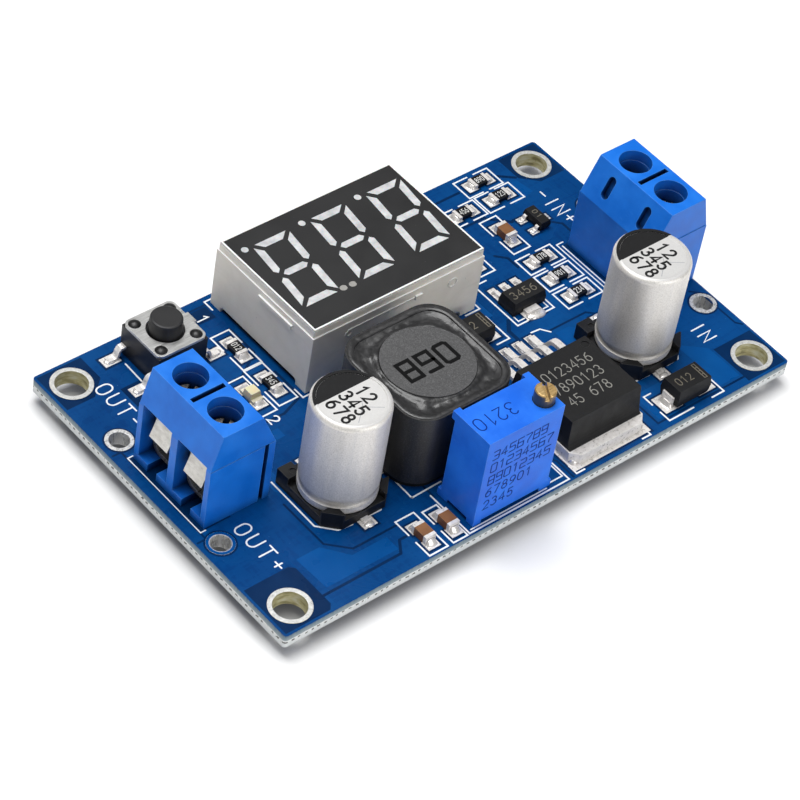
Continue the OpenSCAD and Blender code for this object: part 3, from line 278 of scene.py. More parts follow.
def laminate():
    """Blue solder mask on top and below, and on the sides the sawn laminate with its two bands."""
    p = Paint("board_laminate", 0.3, spec=0.12, edge=0.05)
    cloud = p.noise(0.09, distortion=0.6)
    mask = p.ramp(cloud, (0.3, (0, 54, 112)), (0.52, (0, 62, 122)), (0.75, (0, 71, 134)))
    weave = p.weave()
    mask = p.over(mask, weave, 0.85, 1.25, 0.16, (10, 88, 152))
    mask = p.over(mask, p.noise(3.5, 2), 0.755, 0.775, 0.35, (90, 140, 190))

    height = p.axis("Z")
    fibres = p.noise(1, 4, p.place(5000, 5000, 500), 0.7)
    wobble = p.noise(0.8)
    side = p.ramp(p.calc("ADD", p.times(height, 0.55), p.times(wobble, 0.09)), (0, (150, 156, 158)),
                  (0.12, (222, 225, 226)), (0.4, (232, 234, 234)), (0.5, (244, 245, 245)),
                  (0.57, (148, 162, 168)), (0.82, (104, 128, 142)), (0.93, (20, 72, 122)))
    side = p.over(side, fibres, 0.35, 0.75, 0.45, (178, 182, 182))
    along = p.calc("ADD", p.axis("X"), p.axis("Y"))
    dash = p.calc("FRACT", p.times(p.calc("ADD", along, p.times(wobble, 0.9)), 1.3))
    row = p.calc("ABSOLUTE", p.calc("SUBTRACT", height, p.calc("ADD", 0.42, p.times(wobble, 0.5))))
    inside = p.times(p.calc("LESS_THAN", dash, 0.42), p.calc("LESS_THAN", row, 0.1))
    side = p.mix(p.times(inside, p.ramp(p.noise(2.1, 2), (0.34, 0), (0.42, 0.9))), side, (84, 86, 84))

    flat = p.flat(0.6, True)
    p.bump((weave, 0.1, 0.01), (fibres, 0.12, 0.02), (cloud, 0.15, 0.2))
    p.finish(p.mix(flat, side, mask), p.mix(flat, 0.62, p.ramp(cloud, (0.3, 0.24), (0.7, 0.34))))


def masked(name, tone, lighter):
    """Solder mask where there is no copper below it, or a fresh patch of it."""
    p = Paint(name, 0.3, spec=0.12)
    cloud = p.noise(0.25)
    p.bump((p.weave(), 0.12, 0.01))
    p.finish(p.over(tone, cloud, 0.3, 0.7, 1, lighter), cloud, 0.25, 0.36)


def printed(name, tone, thin, rough=0.5, broken=0.5, **sockets):
    """Printed ink that is a little thinner in places, with a grainy edge."""
    p = Paint(name, rough, **sockets)
    patch = p.noise(2.2, 4)
    grit = p.noise(14)
    colour = p.over(tone, patch, 0.55, 0.8, broken, thin)
    p.bump((grit, 0.3, 0.01))
    p.finish(p.over(colour, grit, 0.6, 0.8, 0.25, thin), patch, rough - 0.08, rough + 0.08)


def frozen_solder():
    """Solder that has frozen: bright and smooth, with duller skin here and there."""
    p = Paint("solder", 0.2, 0.5, edge=0.05)
    frost = p.noise(3)
    pool = p.noise(1.1, 2, distortion=0.6)
    colour = p.over((242, 238, 234), pool, 0.4, 0.7, 1, (218, 213, 208))
    colour = p.over(colour, p.noise(2.4, 2), 0.72, 0.8, 0.3, (140, 126, 108))
    p.bump((frost, 0.12, 0.02), (pool, 0.25, 0.08))
    p.finish(colour, frost, 0.16, 0.3, 0.35)


def aluminium():
    """Drawn aluminium with the fine mottled skin of a pressed can, and a band of painted shade in the groove above
    its foot.
    """
    p = Paint("can_aluminium", 0.42, 0.72, edge=0.05)
    mottle = p.noise(7, 4, None, 0.75)
    streak = p.noise(1, 3, p.place(1500, 1500, 90))
    colour = p.ramp(mottle, (0.3, (212, 208, 202)), (0.5, (238, 234, 228)), (0.7, (253, 250, 246)))
    colour = p.over(colour, streak, 0.45, 0.75, 0.3, (202, 203, 205))
    colour = p.over(colour, p.noise(1, 5, p.place(5000, 5000, 1600), 0.75), 0.68, 0.76, 0.5, (168, 168, 168))
    # Painted shade: a darker band by height in the groove above the foot.
    groove_shade = p.ramp(p.calc("DIVIDE", p.axis("Z"), 16), (0.21, 1), (0.233, 0.46), (0.252, 0.8), (0.33, 0.86), (0.6, 1))
    colour = p.mix(1, colour, groove_shade, "MULTIPLY")
    top = p.flat(0.85)
    colour = p.mix(top, colour, p.mix(0.75, colour, (206, 206, 206)))
    p.put(p.shader.inputs["Metallic"], p.mix(top, 0.45, 0.2))
    p.bump((mottle, 0.18, 0.02), (streak, 0.08, 0.02))
    p.finish(colour, mottle, 0.36, 0.48)


def pressed(name, tone, light, dark, rough):
    """Pressed ferrite: matt grey with light and dark grains, a few scratches and a painted highlight on its edges.
    """
    p = Paint(name, rough, edge=0.09)
    grain = p.noise(8, 4, None, 0.7)
    colour = p.ramp(grain, (0.32, dark), (0.5, tone), (0.68, light))
    cells = p.node("TexVoronoi", {"Vector": p.place(), "Scale": 3.4}).outputs["Distance"]
    fleck = p.ramp(cells, (0, 0.75), (0.09, 0))
    colour = p.mix(p.times(fleck, p.ramp(p.noise(1.1, 1), (0.5, 0), (0.6, 1))), colour, light)
    scratch = p.noise(1, 3, p.place(900, 14000), 0.8)
    colour = p.over(colour, scratch, 0.69, 0.75, 0.4, light)
    p.bump((grain, 0.4, 0.03), (scratch, 0.15, 0.02))
    # Lighter edges: a painted highlight.
    p.finish(p.mix(p.times(p.near, 0.55), colour, light), grain, rough - 0.1, rough + 0.1)


def cured_glue():
    """Cured glue: dark, glossy, with swirls and dust."""
    p = Paint("inductor_glue", 0.36, Coat_Weight=0.3, Coat_Roughness=0.08)
    swirl = p.noise(0.8, 4, distortion=1.4)
    colour = p.over((34, 34, 35), swirl, 0.4, 0.7, 1, (56, 56, 57))
    colour = p.over(colour, p.noise(9, 2), 0.72, 0.78, 0.4, (96, 94, 90))
    p.bump((swirl, 0.4, 0.2), (p.noise(3), 0.15, 0.05))
    p.finish(colour, swirl, 0.32, 0.5, 0.35)


def plating():
    """The silvery ring of a fixing hole; inside, the laminate shows through in yellowish bands."""
    p = Paint("hole_plating", 0.32, edge=0.05)
    scratch = p.noise(1, 4, p.place(4000, 4000, 900), 0.7)
    ring = p.ramp(scratch, (0.3, (196, 196, 192)), (0.55, (222, 222, 218)), (0.75, (240, 240, 237)))
    band = p.noise(1, 2, p.place(700, 700, 1900))
    wall = p.ramp(band, (0.32, (150, 142, 100)), (0.5, (208, 200, 150)), (0.7, (232, 230, 208)))
    flat = p.flat(0.5, True)
    p.put(p.shader.inputs["Metallic"], p.mix(flat, 0.15, 0.4))
    p.bump((scratch, 0.25, 0.02), (band, 0.15, 0.03))
    p.finish(p.mix(flat, wall, ring), scratch, 0.25, 0.42)


def filled_resin(name, tone, light, rough):
    """Black moulding compound with its fine sparkle of filler and a painted highlight on its edges."""
    p = Paint(name, rough, spec=0.22, edge=0.06)
    grain = p.noise(11, 4, None, 0.65)
    colour = p.over(tone, grain, 0.4, 0.75, 0.45, light)
    colour = p.over(colour, p.noise(22, 1), 0.74, 0.8, 0.3, (96, 96, 99))
    # Lighter edges: a painted highlight.
    colour = p.mix(p.times(p.near, 0.45), colour, (84, 84, 87))
    p.bump((grain, 0.35, 0.02))
    p.finish(colour, p.noise(0.7), rough - 0.08, rough + 0.08)


def film():
    """The display's printed face: matt black with a few grains of dust."""
    p = Paint("display_film", 0.42, spec=0.4)
    grain = p.noise(16, 3, None, 0.6)
    colour = p.over((30, 30, 31), grain, 0.3, 0.75, 0.6, (41, 41, 42))
    colour = p.over(colour, p.noise(5, 2), 0.765, 0.785, 0.5, (120, 120, 120))
    p.bump((grain, 0.3, 0.012))
    p.finish(colour, p.noise(0.25, 2), 0.38, 0.5)


def milky_resin():
    """Milky resin with clouds of tone and a little grit."""
    p = Paint("segment_resin", 0.35, Subsurface_Weight=0.15, Subsurface_Scale=0.0004)
    soft = p.noise(0.9, 2)
    grit = p.noise(9)
    colour = p.ramp(soft, (0.3, (184, 185, 187)), (0.5, (202, 203, 205)), (0.7, (218, 218, 219)))
    colour = p.over(colour, grit, 0.55, 0.8, 0.25, (168, 170, 173))
    p.bump((soft, 0.3, 0.06), (grit, 0.15, 0.01))
    p.finish(colour, soft, 0.28, 0.42)


def housing():
    """The display's moulded housing, palest on its ledges and edges: a painted highlight on faces that look up and
    on edges.
    """
    p = Paint("display_shell", 0.42, Subsurface_Weight=0.08, Subsurface_Scale=0.0006, edge=0.1)
    cloud = p.noise(0.28, 4, distortion=0.5)
    colour = p.ramp(cloud, (0.3, (234, 228, 214)), (0.5, (241, 235, 222)), (0.72, (248, 243, 231)))
    flow = p.noise(1, 4, p.place(260, 260, 1500), 0.6)
    colour = p.over(colour, flow, 0.55, 0.8, 0.35, (220, 214, 201))
    colour = p.over(colour, p.noise(2.4), 0.72, 0.77, 0.45, (150, 150, 150))
    # Faces that look up and the edges are painted near white: a painted highlight.
    painted_top_highlight = p.flat(0.8)
    colour = p.mix(p.calc("MAXIMUM", painted_top_highlight, p.times(p.near, 0.7)), colour, (250, 250, 249))
    p.bump((p.noise(10), 0.25, 0.012), (flow, 0.12, 0.03))
    p.finish(colour, cloud, 0.36, 0.5)


def terminal_metal(name, base, shade, rough, grain, hollow_shade):
    metal(name, base, shade, rough, 0.05, grain, 0.35, 0.25, (60, 54, 48), hollow_shade=hollow_shade)


for make in (laminate, plating, housing, film, milky_resin, cured_glue, aluminium, frozen_solder):
    make()
metal("tin", (250, 247, 244), (226, 221, 216), 0.3, 0.04, (2600, 2600, 2600), 0.08, 0.08, (186, 176, 162), 0.26)
metal("copper_wire", (190, 104, 62), (140, 66, 34))
# The brass screw's sides are painted darker than its top: painted shade.
metal("trimmer_brass", (242, 208, 150), (208, 170, 108), 0.32, 0.06, (900, 9000, 6000), 0.12, shine=0.85,
      side_shade=(120, 104, 84))
metal("switch_plate", (224, 224, 222), (186, 186, 184), 0.33, 0.05, (600, 9000, 9000), 0.3)
metal("hole_tin", (244, 243, 240), (206, 206, 204), 0.27, 0.05, (2600, 2600, 700), 0.08, shine=0.45,
      hollow_shade=(1.4, 0.06))
terminal_metal("contact_metal", (222, 220, 214), (146, 142, 134), 0.3, (900, 7000, 7000), (2.2, 0.3))
terminal_metal("leaf_metal", (236, 234, 229), (190, 187, 180), 0.36, (5200, 900, 900), (1.2, 0.45))
terminal_metal("screw_metal", (216, 206, 184), (160, 148, 122), 0.26, (3000, 3000, 9000), (1.4, 0.3))
moulded("terminal_blue", (30, 124, 230), (14, 108, 214), (92, 162, 248), 0.36, 0.09, hollow_shade=(2.6, 0.1), spec=0.28)
moulded("trimmer_blue", (34, 120, 240), (18, 102, 224), (110, 170, 250), 0.44, 0.08, 8, 0.02, spec=0.25)
moulded("black_plastic", (26, 26, 27), (17, 17, 18), (84, 85, 88), 0.42, 0.06, 11, 0.015, spec=0.3)
moulded("capacitor_body", (146, 98, 56), (118, 76, 42), (184, 142, 98), 0.4, 0.05, 14)
moulded("lamp_lens", (240, 232, 196), (226, 214, 168), (250, 247, 230), 0.25, 0.08, Subsurface_Weight=0.3,
        Subsurface_Scale=0.0004)
moulded("switch_resin", (22, 22, 23), (14, 14, 15), (70, 70, 74), 0.36, 0.06, 10)
moulded("button_resin", (24, 24, 26), (15, 15, 17), (96, 98, 102), 0.48, 0.1, 9, 0.02)
moulded("lamp_board", (222, 216, 196), (206, 198, 172), (242, 238, 224))
filled_resin("potting_resin", (70, 70, 66), (104, 102, 96), 0.4)
filled_resin("package_resin", (22, 22, 23), (38, 38, 39), 0.55)
filled_resin("resistor_body", (18, 18, 20), (36, 36, 40), 0.35)
pressed("ferrite", (30, 30, 31), (62, 62, 63), (18, 18, 19), 0.4)
pressed("core_face", (73, 73, 74), (101, 101, 102), (54, 54, 55), 0.6)
masked("mask_on_laminate", (0, 36, 76), (0, 44, 88))
masked("mask_on_pour", (0, 72, 138), (2, 82, 150))
printed("white_ink", (240, 242, 244), (176, 196, 216), 0.5, 0.4)
printed("laser_marking", (140, 139, 133), (88, 87, 83), 0.6, 0.8)
printed("faint_marking", (112, 106, 92), (66, 64, 58), 0.6, 0.9)
printed("chip_ink", (232, 232, 228), (170, 170, 168))
printed("black_ink", (32, 32, 33), (52, 52, 54), 0.5, 0.3, spec=0.15)
printed("engraved_shadow", (4, 40, 124), (14, 62, 158), 0.6, 0.6, spec=0.1)
printed("core_marking", (16, 16, 17), (34, 34, 35), 0.6, 0.4, spec=0.08)
printed("smoked_resin", (158, 156, 152), (110, 108, 106), 0.3, 0.8)
printed("score_line", (168, 170, 174), (196, 198, 202), 0.4, 0.6)

node_paints = {entry["node"]: entry["material_slot"] for entry in frame["record"]["subparts"]}
node_paints |= {"inductor_core": "core_face", "switch_housing": "switch_resin", "switch_button": "button_resin",
                "indicator_base": "lamp_board", "wire_hole_rings": "hole_tin"}
for name, paint in node_paints.items():
    nodes[name].data.materials.clear()
    nodes[name].data.materials.append(paints[paint])

# Pieces drawn in mesh code

# Print that is read from the board's left-hand end: its line and its upward side, on top and on the underside
TURNED = ((0, -1, 0), (1, 0, 0))
TURNED_BELOW = ((0, 1, 0), (1, 0, 0))


class Plane:
    """A flat place on the object: its origin and its two directions, in millimetres on the board."""

    def __init__(self, x, y, z, along=(1, 0, 0), up=(0, 1, 0)):
        self.origin = Vector((x, y, z))
        self.along = Vector(along)
        self.up = Vector(up)
        self.out = self.along.cross(self.up)

    def point(self, u, v, h):
        return at(*(self.origin + self.along * u + self.up * v + self.out * h))


TOP = Plane(0, 0, 0)
BELOW = Plane(0, 0, -BOARD_T, (1, 0, 0), (0, -1, 0))


def add(name, data):
    made = bpy.data.objects.new(name, data)
    scene.collection.objects.link(made)
    return made


def add_mesh(name, mesh, paint):
    data = bpy.data.meshes.new(name)
    mesh.to_mesh(data)
    mesh.free()
    data.materials.append(paints[paint])
    return add(name, data)


def piece(name, mesh, paint, body="board", smooth=False):
    """Finishes the mesh as a visible piece with its paint, riding on a body."""
    bmesh.ops.recalc_face_normals(mesh, faces=mesh.faces)
    made = add_mesh(name, mesh, paint)
    for face in made.data.polygons:
        face.use_smooth = smooth
    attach(made, body)
    return made


def strip(mesh, one, two, closed=True):
    """Faces between two rows of points."""
    for i in range(len(one) if closed else len(one) - 1):
        k = (i + 1) % len(one)
        mesh.faces.new((one[i], one[k], two[k], two[i]))


def fan(mesh, ring, tip):
    """Faces between a ring of points and its tip."""
    for i in range(len(ring)):
        mesh.faces.new((ring[i], ring[(i + 1) % len(ring)], tip))


def hoop(mesh, rows):
    """A closed ring made of its cross sections."""
    for one, two in zip(rows, rows[1:] + rows[:1]):
        strip(mesh, one, two)


def slab(mesh, plane, outline, low, high):
    """A flat sheet with that outline between two heights, open below."""
    bottom, top = ([mesh.verts.new(plane.point(u, v, h)) for u, v in outline] for h in (low, high))
    mesh.faces.new(top)
    strip(mesh, bottom, top)


def stroke(mesh, plane, points, width, low, high, closed=False):
    """A drawn line of that width, with mitred corners and round ends."""
    path = [Vector(p) for p in points]
    count = len(path)
    r = width / 2
    caps = [(0.9, 0.3), (0.6, 0.8), (0, 1)]
    rows = []
    for i, p in enumerate(path):
        d0 = (p - path[i - 1]).normalized() if i > 0 or closed else None
        d1 = (path[(i + 1) % count] - p).normalized() if i < count - 1 or closed else None
        if d0 is None:
            rows += [(p - d1 * r * back, Vector((-d1.y, d1.x)) * r * wide) for back, wide in caps]
        elif d1 is None:
            rows += [(p + d0 * r * back, Vector((-d0.y, d0.x)) * r * wide) for back, wide in reversed(caps)]
        else:
            n0 = Vector((-d0.y, d0.x))
            n1 = Vector((-d1.y, d1.x))
            mitre = n0 + n1
            mitre = mitre.normalized() if mitre.length > 1e-6 else n0
            rows.append((p, mitre * min(r / max(mitre.dot(n0), 0.35), 1.9 * r)))
    rings = []
    for centre, side in rows:
        a, b = centre + side, centre - side
        rings.append([mesh.verts.new(plane.point(*q, h)) for q, h in ((a, low), (a, high), (b, high), (b, low))])
    for one, two in zip(rings, rings[1:] + rings[:closed]):
        strip(mesh, one, two, False)
    if not closed:
        mesh.faces.new(rings[0])
        mesh.faces.new(rings[-1])


def arc(cx, cy, rx, ry, start, end, steps=8):
    turns = [radians(start + (end - start) * i / steps) for i in range(steps + 1)]
    return [(cx + rx * cos(a), cy + ry * sin(a)) for a in turns]


def circle(x, y, radius, count):
    return arc(x, y, radius, radius, 0, 360 - 360 / count, count - 1)


def rectangle(x0, y0, x1, y1):
    return [(x0, y0), (x1, y0), (x1, y1), (x0, y1)]


def places(values, scale=1):
    """A row of numbers as points of two numbers each."""
    values = [value / scale for value in values]
    return list(zip(values[::2], values[1::2]))


def mirrored(points):
    """Places on the board as the underside's plane counts them."""
    return [(x, -y) for x, y in points]


# Plain drawn characters, each 1 high

GLYPH_W = 0.62
ROUND = {
    "0": [arc(0.31, 0.69, 0.29, 0.31, 0, 180) + arc(0.31, 0.31, 0.29, 0.31, 180, 360) + [(0.6, 0.69)]],
    "1": [[(0.12, 0.78), (0.34, 1), (0.34, 0)]],
    "2": [arc(0.31, 0.7, 0.28, 0.3, 165, -30) + [(0.03, 0), (0.61, 0)]],
    "3": [arc(0.29, 0.75, 0.25, 0.25, 150, -80) + arc(0.29, 0.27, 0.3, 0.27, 80, -150)],
    "4": [[(0.46, 0), (0.46, 1), (0.02, 0.3), (0.62, 0.3)]],
    "5": [[(0.55, 1), (0.12, 1), (0.08, 0.57)] + arc(0.3, 0.32, 0.29, 0.32, 120, -150)],
    "6": [[(0.5, 0.97), (0.2, 0.8), (0.03, 0.45)] + arc(0.31, 0.3, 0.28, 0.3, 165, -195, 14)],
    "7": [[(0.03, 1), (0.6, 1), (0.22, 0)]],
    "8": [arc(0.31, 0.76, 0.23, 0.24, -90, 270, 12), arc(0.31, 0.27, 0.28, 0.27, 90, 450, 12)],
    "9": [[(0.12, 0.03), (0.42, 0.2), (0.59, 0.55)] + arc(0.31, 0.7, 0.28, 0.3, -15, 345, 14)],
    "O": [arc(0.31, 0.66, 0.29, 0.34, 0, 180) + arc(0.31, 0.34, 0.29, 0.34, 180, 360) + [(0.6, 0.66)]],
    "U": [[(0.02, 1)] + arc(0.31, 0.32, 0.29, 0.32, 180, 360) + [(0.6, 1)]],
    "T": [[(0, 1), (0.62, 1)], [(0.31, 1), (0.31, 0)]],
    "I": [[(0.31, 0), (0.31, 1)]],
    "N": [[(0.03, 0), (0.03, 1), (0.59, 0), (0.59, 1)]],
    "+": [[(0.06, 0.5), (0.56, 0.5)], [(0.31, 0.25), (0.31, 0.75)]],
    "-": [[(0.08, 0.5), (0.54, 0.5)]],
}
BOXY = {
    "0": [[10, 0, 52, 0, 62, 8, 62, 92, 52, 100, 10, 100, 0, 92, 0, 8, 10, 0]],
    "1": [[14, 84, 36, 100, 36, 0]],
    "2": [[0, 100, 56, 100, 62, 92, 62, 56, 54, 50, 6, 50, 0, 44, 0, 0, 62, 0]],
    "3": [[0, 100, 56, 100, 62, 92, 62, 8, 56, 0, 0, 0], [12, 50, 60, 50]],
    "4": [[44, 0, 44, 100, 0, 30, 62, 30]],
    "5": [[62, 100, 0, 100, 0, 55, 54, 55, 62, 47, 62, 8, 54, 0, 0, 0]],
    "6": [[60, 100, 0, 100, 0, 0, 62, 0, 62, 50, 2, 50]],
    "7": [[0, 100, 62, 100, 62, 86, 26, 30, 26, 0]],
    "8": [[0, 0, 62, 0, 62, 100, 0, 100, 0, 0], [0, 50, 62, 50]],
    "9": [[2, 0, 62, 0, 62, 100, 0, 100, 0, 50, 60, 50]],
}
BOXY = {c: [places(line, 100) for line in lines] for c, lines in BOXY.items()}
MARK_LOW = -0.01


def letters(mesh, plane, text, u, v, height, width, thick, pitch, high=0.012, font=ROUND):
    """Writes the characters from (u, v) on, each as a raised line."""
    for i, c in enumerate(text):
        for k, line in enumerate(font.get(c, ())):
            closed = dist(line[0], line[-1]) < 1e-6
            points = [(u + i * pitch + x * width / GLYPH_W, v + y * height) for x, y in line]
            stroke(mesh, plane, points[:-1] if closed else points, thick, MARK_LOW - 0.002 * k, high + 0.002 * k,
                   closed)


def islands(node):
    """The boxes of a node's separate solids, in millimetres on the board."""
    data = nodes[node].data
    spots = {}
    keys = [spots.setdefault(tuple(round(c * 1e6) for c in v.co), len(spots)) for v in data.vertices]
    parent = list(range(len(spots)))

    def root(i):
        while parent[i] != i:
            parent[i] = parent[parent[i]]
            i = parent[i]
        return i

    for face in data.polygons:
        for v in face.vertices[1:]:
            parent[root(keys[v])] = root(keys[face.vertices[0]])
    groups = {}
    for v, key in zip(data.vertices, keys):
        groups.setdefault(root(key), []).append(v.co)
    return sorted(on_board([min(c) for c in zip(*points)]) + on_board([max(c) for c in zip(*points)])
                  for points in groups.values())


# Solder mask: where the copper is missing it is darker, so the gaps between the copper areas show; one darker strip
# is painted shadow at the foot of the IN terminal

MASK_LOW = -0.02
MASK_EDGE = 0.3
PAD_GROW = 0.24
RING_CLEAR = 2.14


def corner_zone(outline, x, y):
    """An outline with the fixing hole's ring left out, as one closed line."""
    ring = arc(x, y, RING_CLEAR, RING_CLEAR, 0, 360, 28)
    near = min(range(len(outline)), key=lambda k: dist(outline[k], ring[0]))
    return outline[near:] + outline[:near + 1] + ring[::-1]


mesh = bmesh.new()
for i, (x0, y0, _, x1, y1, _) in enumerate(islands("solder_pads")):
    outline = rectangle(max(x0 - PAD_GROW, MASK_EDGE), max(y0 - PAD_GROW, MASK_EDGE),
                        min(x1 + PAD_GROW, BOARD_L - MASK_EDGE), min(y1 + PAD_GROW, BOARD_W - MASK_EDGE))
    slab(mesh, TOP, outline, MASK_LOW, 0.01 + 0.0002 * (i % 20))
corners = (
    [0.3, 0.3, 5.6, 0.3, 6.1, 0.9, 6.1, 6.1, 5.6, 6.6, 0.3, 6.6],
    [60.5, 0.3, 65.7, 0.3, 65.7, 5.56, 60.5, 5.56],
    [0.3, 34.2, 3.6, 34.2, 5.6, 36, 5.6, 39.3, 0.3, 39.3],
    [60.6, 36, 62.4, 34.3, 65.7, 34.3, 65.7, 39.3, 60.6, 39.3],
)
for values, hole in zip(corners, FIXING_HOLES):
    slab(mesh, TOP, corner_zone(places(values), *hole), MASK_LOW, 0.0065)
# Darker mask in four rectangles; the strip from x 57.75 to 58.6 along the foot of the IN terminal is painted shadow.
for *sides, high in ((6.3, 30.9, 9, 33.7, 0.0062), (17.6, 36.6, 20.4, 38.4, 0.0062),
                     (57.75, 14.2, 58.6, 25.6, 0.0172), (1.42, 14.57, 5, 25.83, 0.0172)):
    slab(mesh, TOP, rectangle(*sides), MASK_LOW, high)
gaps = [
    (0.3, 6.1, 2, 15.6, 2, 16.6, 3.4, 17.4, 3.4),
    (0.22, 0.3, 26.9, 1.3, 26.9, 1.3, 13.6, 0.3, 13.6),
    (0.24, 10.2, 13, 10.2, 7, 12.2, 5, 17.6, 5),
    (0.24, 23, 5.9, 23, 8.2, 24.3, 9.4),
    (0.26, 36.3, 0.3, 36.3, 2.8, 35.4, 4, 35.4, 12.4),
    (0.24, 36.4, 12.6, 47.6, 12.6, 48.4, 11.8, 48.4, 1, 60.5, 1),
    (0.24, 47.9, 16.8, 52.9, 16.8, 56.6, 13.4, 60.4, 13.4),
    (0.45, 44.3, 16.4, 44.3, 19, 45.3, 20.2),
    (0.35, 37.4, 17.4, 38.4, 18.4, 40.6, 18.4),
    (0.3, 45.5, 24.9, 44.6, 25.8, 44.6, 29.8),
    (0.3, 50.4, 28.2, 51.4, 27.2, 51.4, 25.6),
    (0.4, 53.4, 33, 55.4, 31.2, 56.4, 31.2),
    (0.3, 53.4, 33.2, 50.2, 33.2, 47.8, 35.6, 47.8, 38.2),
    (0.3, 58.6, 29.4, 59.9, 28.1, 59.9, 26.4, 57.6, 24.2),
    (0.34, 58.9, 37.4, 60.4, 36.2),
    (0.3, 47.8, 37.6, 53.6, 37.6),
    (0.3, 20.5, 34.6, 20.5, 30.6, 17.4, 28.6, 14.6, 28.6),
    (0.3, 20.6, 27.4, 20.6, 23.4, 17.8, 22.4, 13.2, 22.4, 11.4, 20.2, 10.4, 20.2),
    (0.26, 8.2, 30.8, 10.4, 30.8, 14.8, 30.8, 15.8, 32),
    (0.22, 16.8, 37.4, 18.4, 38.6, 20.6, 38.6),
    (0.22, 64.3, 13.2, 65.2, 12.4, 65.2, 7.2, 65.7, 6.6),
]
for i, (width, *values) in enumerate(gaps):
    stroke(mesh, TOP, places(values), width, MASK_LOW, 0.0075 + 0.0003 * i)
for hole in WIRE_HOLES:
    stroke(mesh, TOP, circle(*hole, 1.56, 24), 0.2, MASK_LOW, 0.009, True)
piece("mask_without_copper_and_painted_shadow", mesh, "mask_on_laminate")

mesh = bmesh.new()
fresh = [
    [6.8, 6.9, 9.6, 6.9, 11.6, 4.4, 15.8, 4.4, 15.8, 2.6, 7, 2.6],
    [11.6, 13.4, 10.5, 14.8, 10.5, 19.4, 11.9, 19.4, 11.9, 13.4],
    [48.9, 1.4, 48.9, 8.6, 49.8, 8.6, 49.8, 5.2, 57.6, 5.2, 57.6, 8.2, 60.2, 6, 60.2, 1.4],
    [60.6, 33.6, 57.6, 33, 57.6, 36, 60.2, 35.8],
    [42.6, 21.6, 44.4, 21.6, 44.4, 24.4, 42.6, 24.4],
    [1.6, 14.2, 1.6, 26.2, 3, 26.2, 3, 14.2],
    [6.6, 20, 16, 20, 16, 21.2, 10.6, 21.2],
    [48.2, 14, 52, 14, 50, 16.2, 48.2, 16.2],
]
for i, values in enumerate(fresh):
    slab(mesh, TOP, places(values), MASK_LOW, 0.003 + 0.0003 * i)
piece("mask_on_thick_copper", mesh, "mask_on_pour")

mesh = bmesh.new()
ring_top = top_of("wire_hole_rings")
stroke(mesh, TOP, circle(*WIRE_HOLES[0], 1.29, 24), 0.3, ring_top - 0.02, ring_top + 0.012, True)
piece("masked_hole_ring", mesh, "mask_on_pour")

# A black sheet on the board under the display's arch: painted shade in the space below the display.
mesh = bmesh.new()
slab(mesh, TOP, rectangle(21.5, 24.7, 23.6, 37.3), MASK_LOW, 0.03)
piece("painted_shade_under_meter", mesh, "switch_resin")

# White print on the board

SILK_TOP = 0.022


def line(mesh, points, width=0.18, plane=TOP, closed=False):
    stroke(mesh, plane, points, width, MARK_LOW, SILK_TOP, closed)


mesh = bmesh.new()
# The print round a chip is open in the middle of both long sides
for x0, y0, x1, y1 in ((54, 36.3, 58.7, 39), (54.4, 33.4, 59.2, 36.05), (49.3, 33.5, 54.1, 36),
                       (51.75, 23.95, 56.55, 26.45), (51.75, 21.05, 56.55, 23.55), (51.75, 18.1, 56.55, 20.6),
                       (44.25, 26.58, 49.05, 29.2)):
    for end, x in ((x0, (x0 + x1) / 2 - 0.45), (x1, (x0 + x1) / 2 + 0.45)):
        line(mesh, [(x, y0), (end, y0), (end, y1), (x, y1)])
for x0, y0, x1, y1 in ((18.05, 29.2, 20.35, 34.5), (18, 23.45, 20.3, 29.05), (15.4, 23.2, 17.5, 28.6),
                       (52.3, 27.3, 54.6, 32.8), (17.7, 0.25, 20, 5.35), (20.7, 0.25, 22.5, 4.9)):
    for end, y in ((y0, (y0 + y1) / 2 - 0.55), (y1, (y0 + y1) / 2 + 0.55)):
        line(mesh, [(x0, y), (x0, end), (x1, end), (x1, y)])
for values in (
        [20.7, 37.6, 20.7, 38.95, 43.9, 38.95, 43.9, 30.2], [20.7, 24.4, 20.7, 23.1, 22.2, 23.1],
        [43.9, 28.6, 43.9, 23.1, 42, 23.1], [21.1, 6.9, 21.17, 11.2], [21.1, 6.9, 24.86, 7],
        [37.3, 17.9, 37.3, 21.4, 35.9, 21.4], [11, 15.9, 10.9, 9.24, 12.48, 7.58, 14.1, 7.42],
        [16.3, 7.4, 17.58, 7.36, 19.7, 9.3, 19.75, 11], [49, 13.2, 49, 8.6, 50.5, 6.6, 52.3, 6.5],
        [54.8, 6.5, 56.4, 6.6, 58, 8.3, 58, 14.2], [22.8, 6.1, 22.8, 0.3, 35.7, 0.3, 35.7, 6.1, 34, 6.1],
        [46.7, 1.56, 46.7, 0.3, 45.6, 0.3], [36.84, 1.6, 36.84, 0.45, 37.9, 0.45],
        [49.65, 2, 49.65, 0.65, 53, 0.65], [49.65, 3.2, 49.65, 4.5, 50.6, 4.5],
        [56, 4.5, 57.25, 4.5, 57.25, 0.65, 55.6, 0.65], [42.4, 21.9, 43.66, 21.9, 43.66, 18.2, 42, 18.2],
        [45.6, 25.9, 45.6, 19.1, 47, 19.1], [49.4, 19.1, 50.6, 19.1, 50.6, 21], [45.6, 25.9, 47.2, 25.9],
        [50.6, 22.4, 50.6, 23.4], [8.79, 36.21, 8.71, 33.45], [16.05, 33.6, 16.05, 36.3],
        [10.4, 38.4, 14.4, 38.4], [46.1, 17.6, 47.2, 17.5, 47.9, 16.6]):
    line(mesh, places(values))
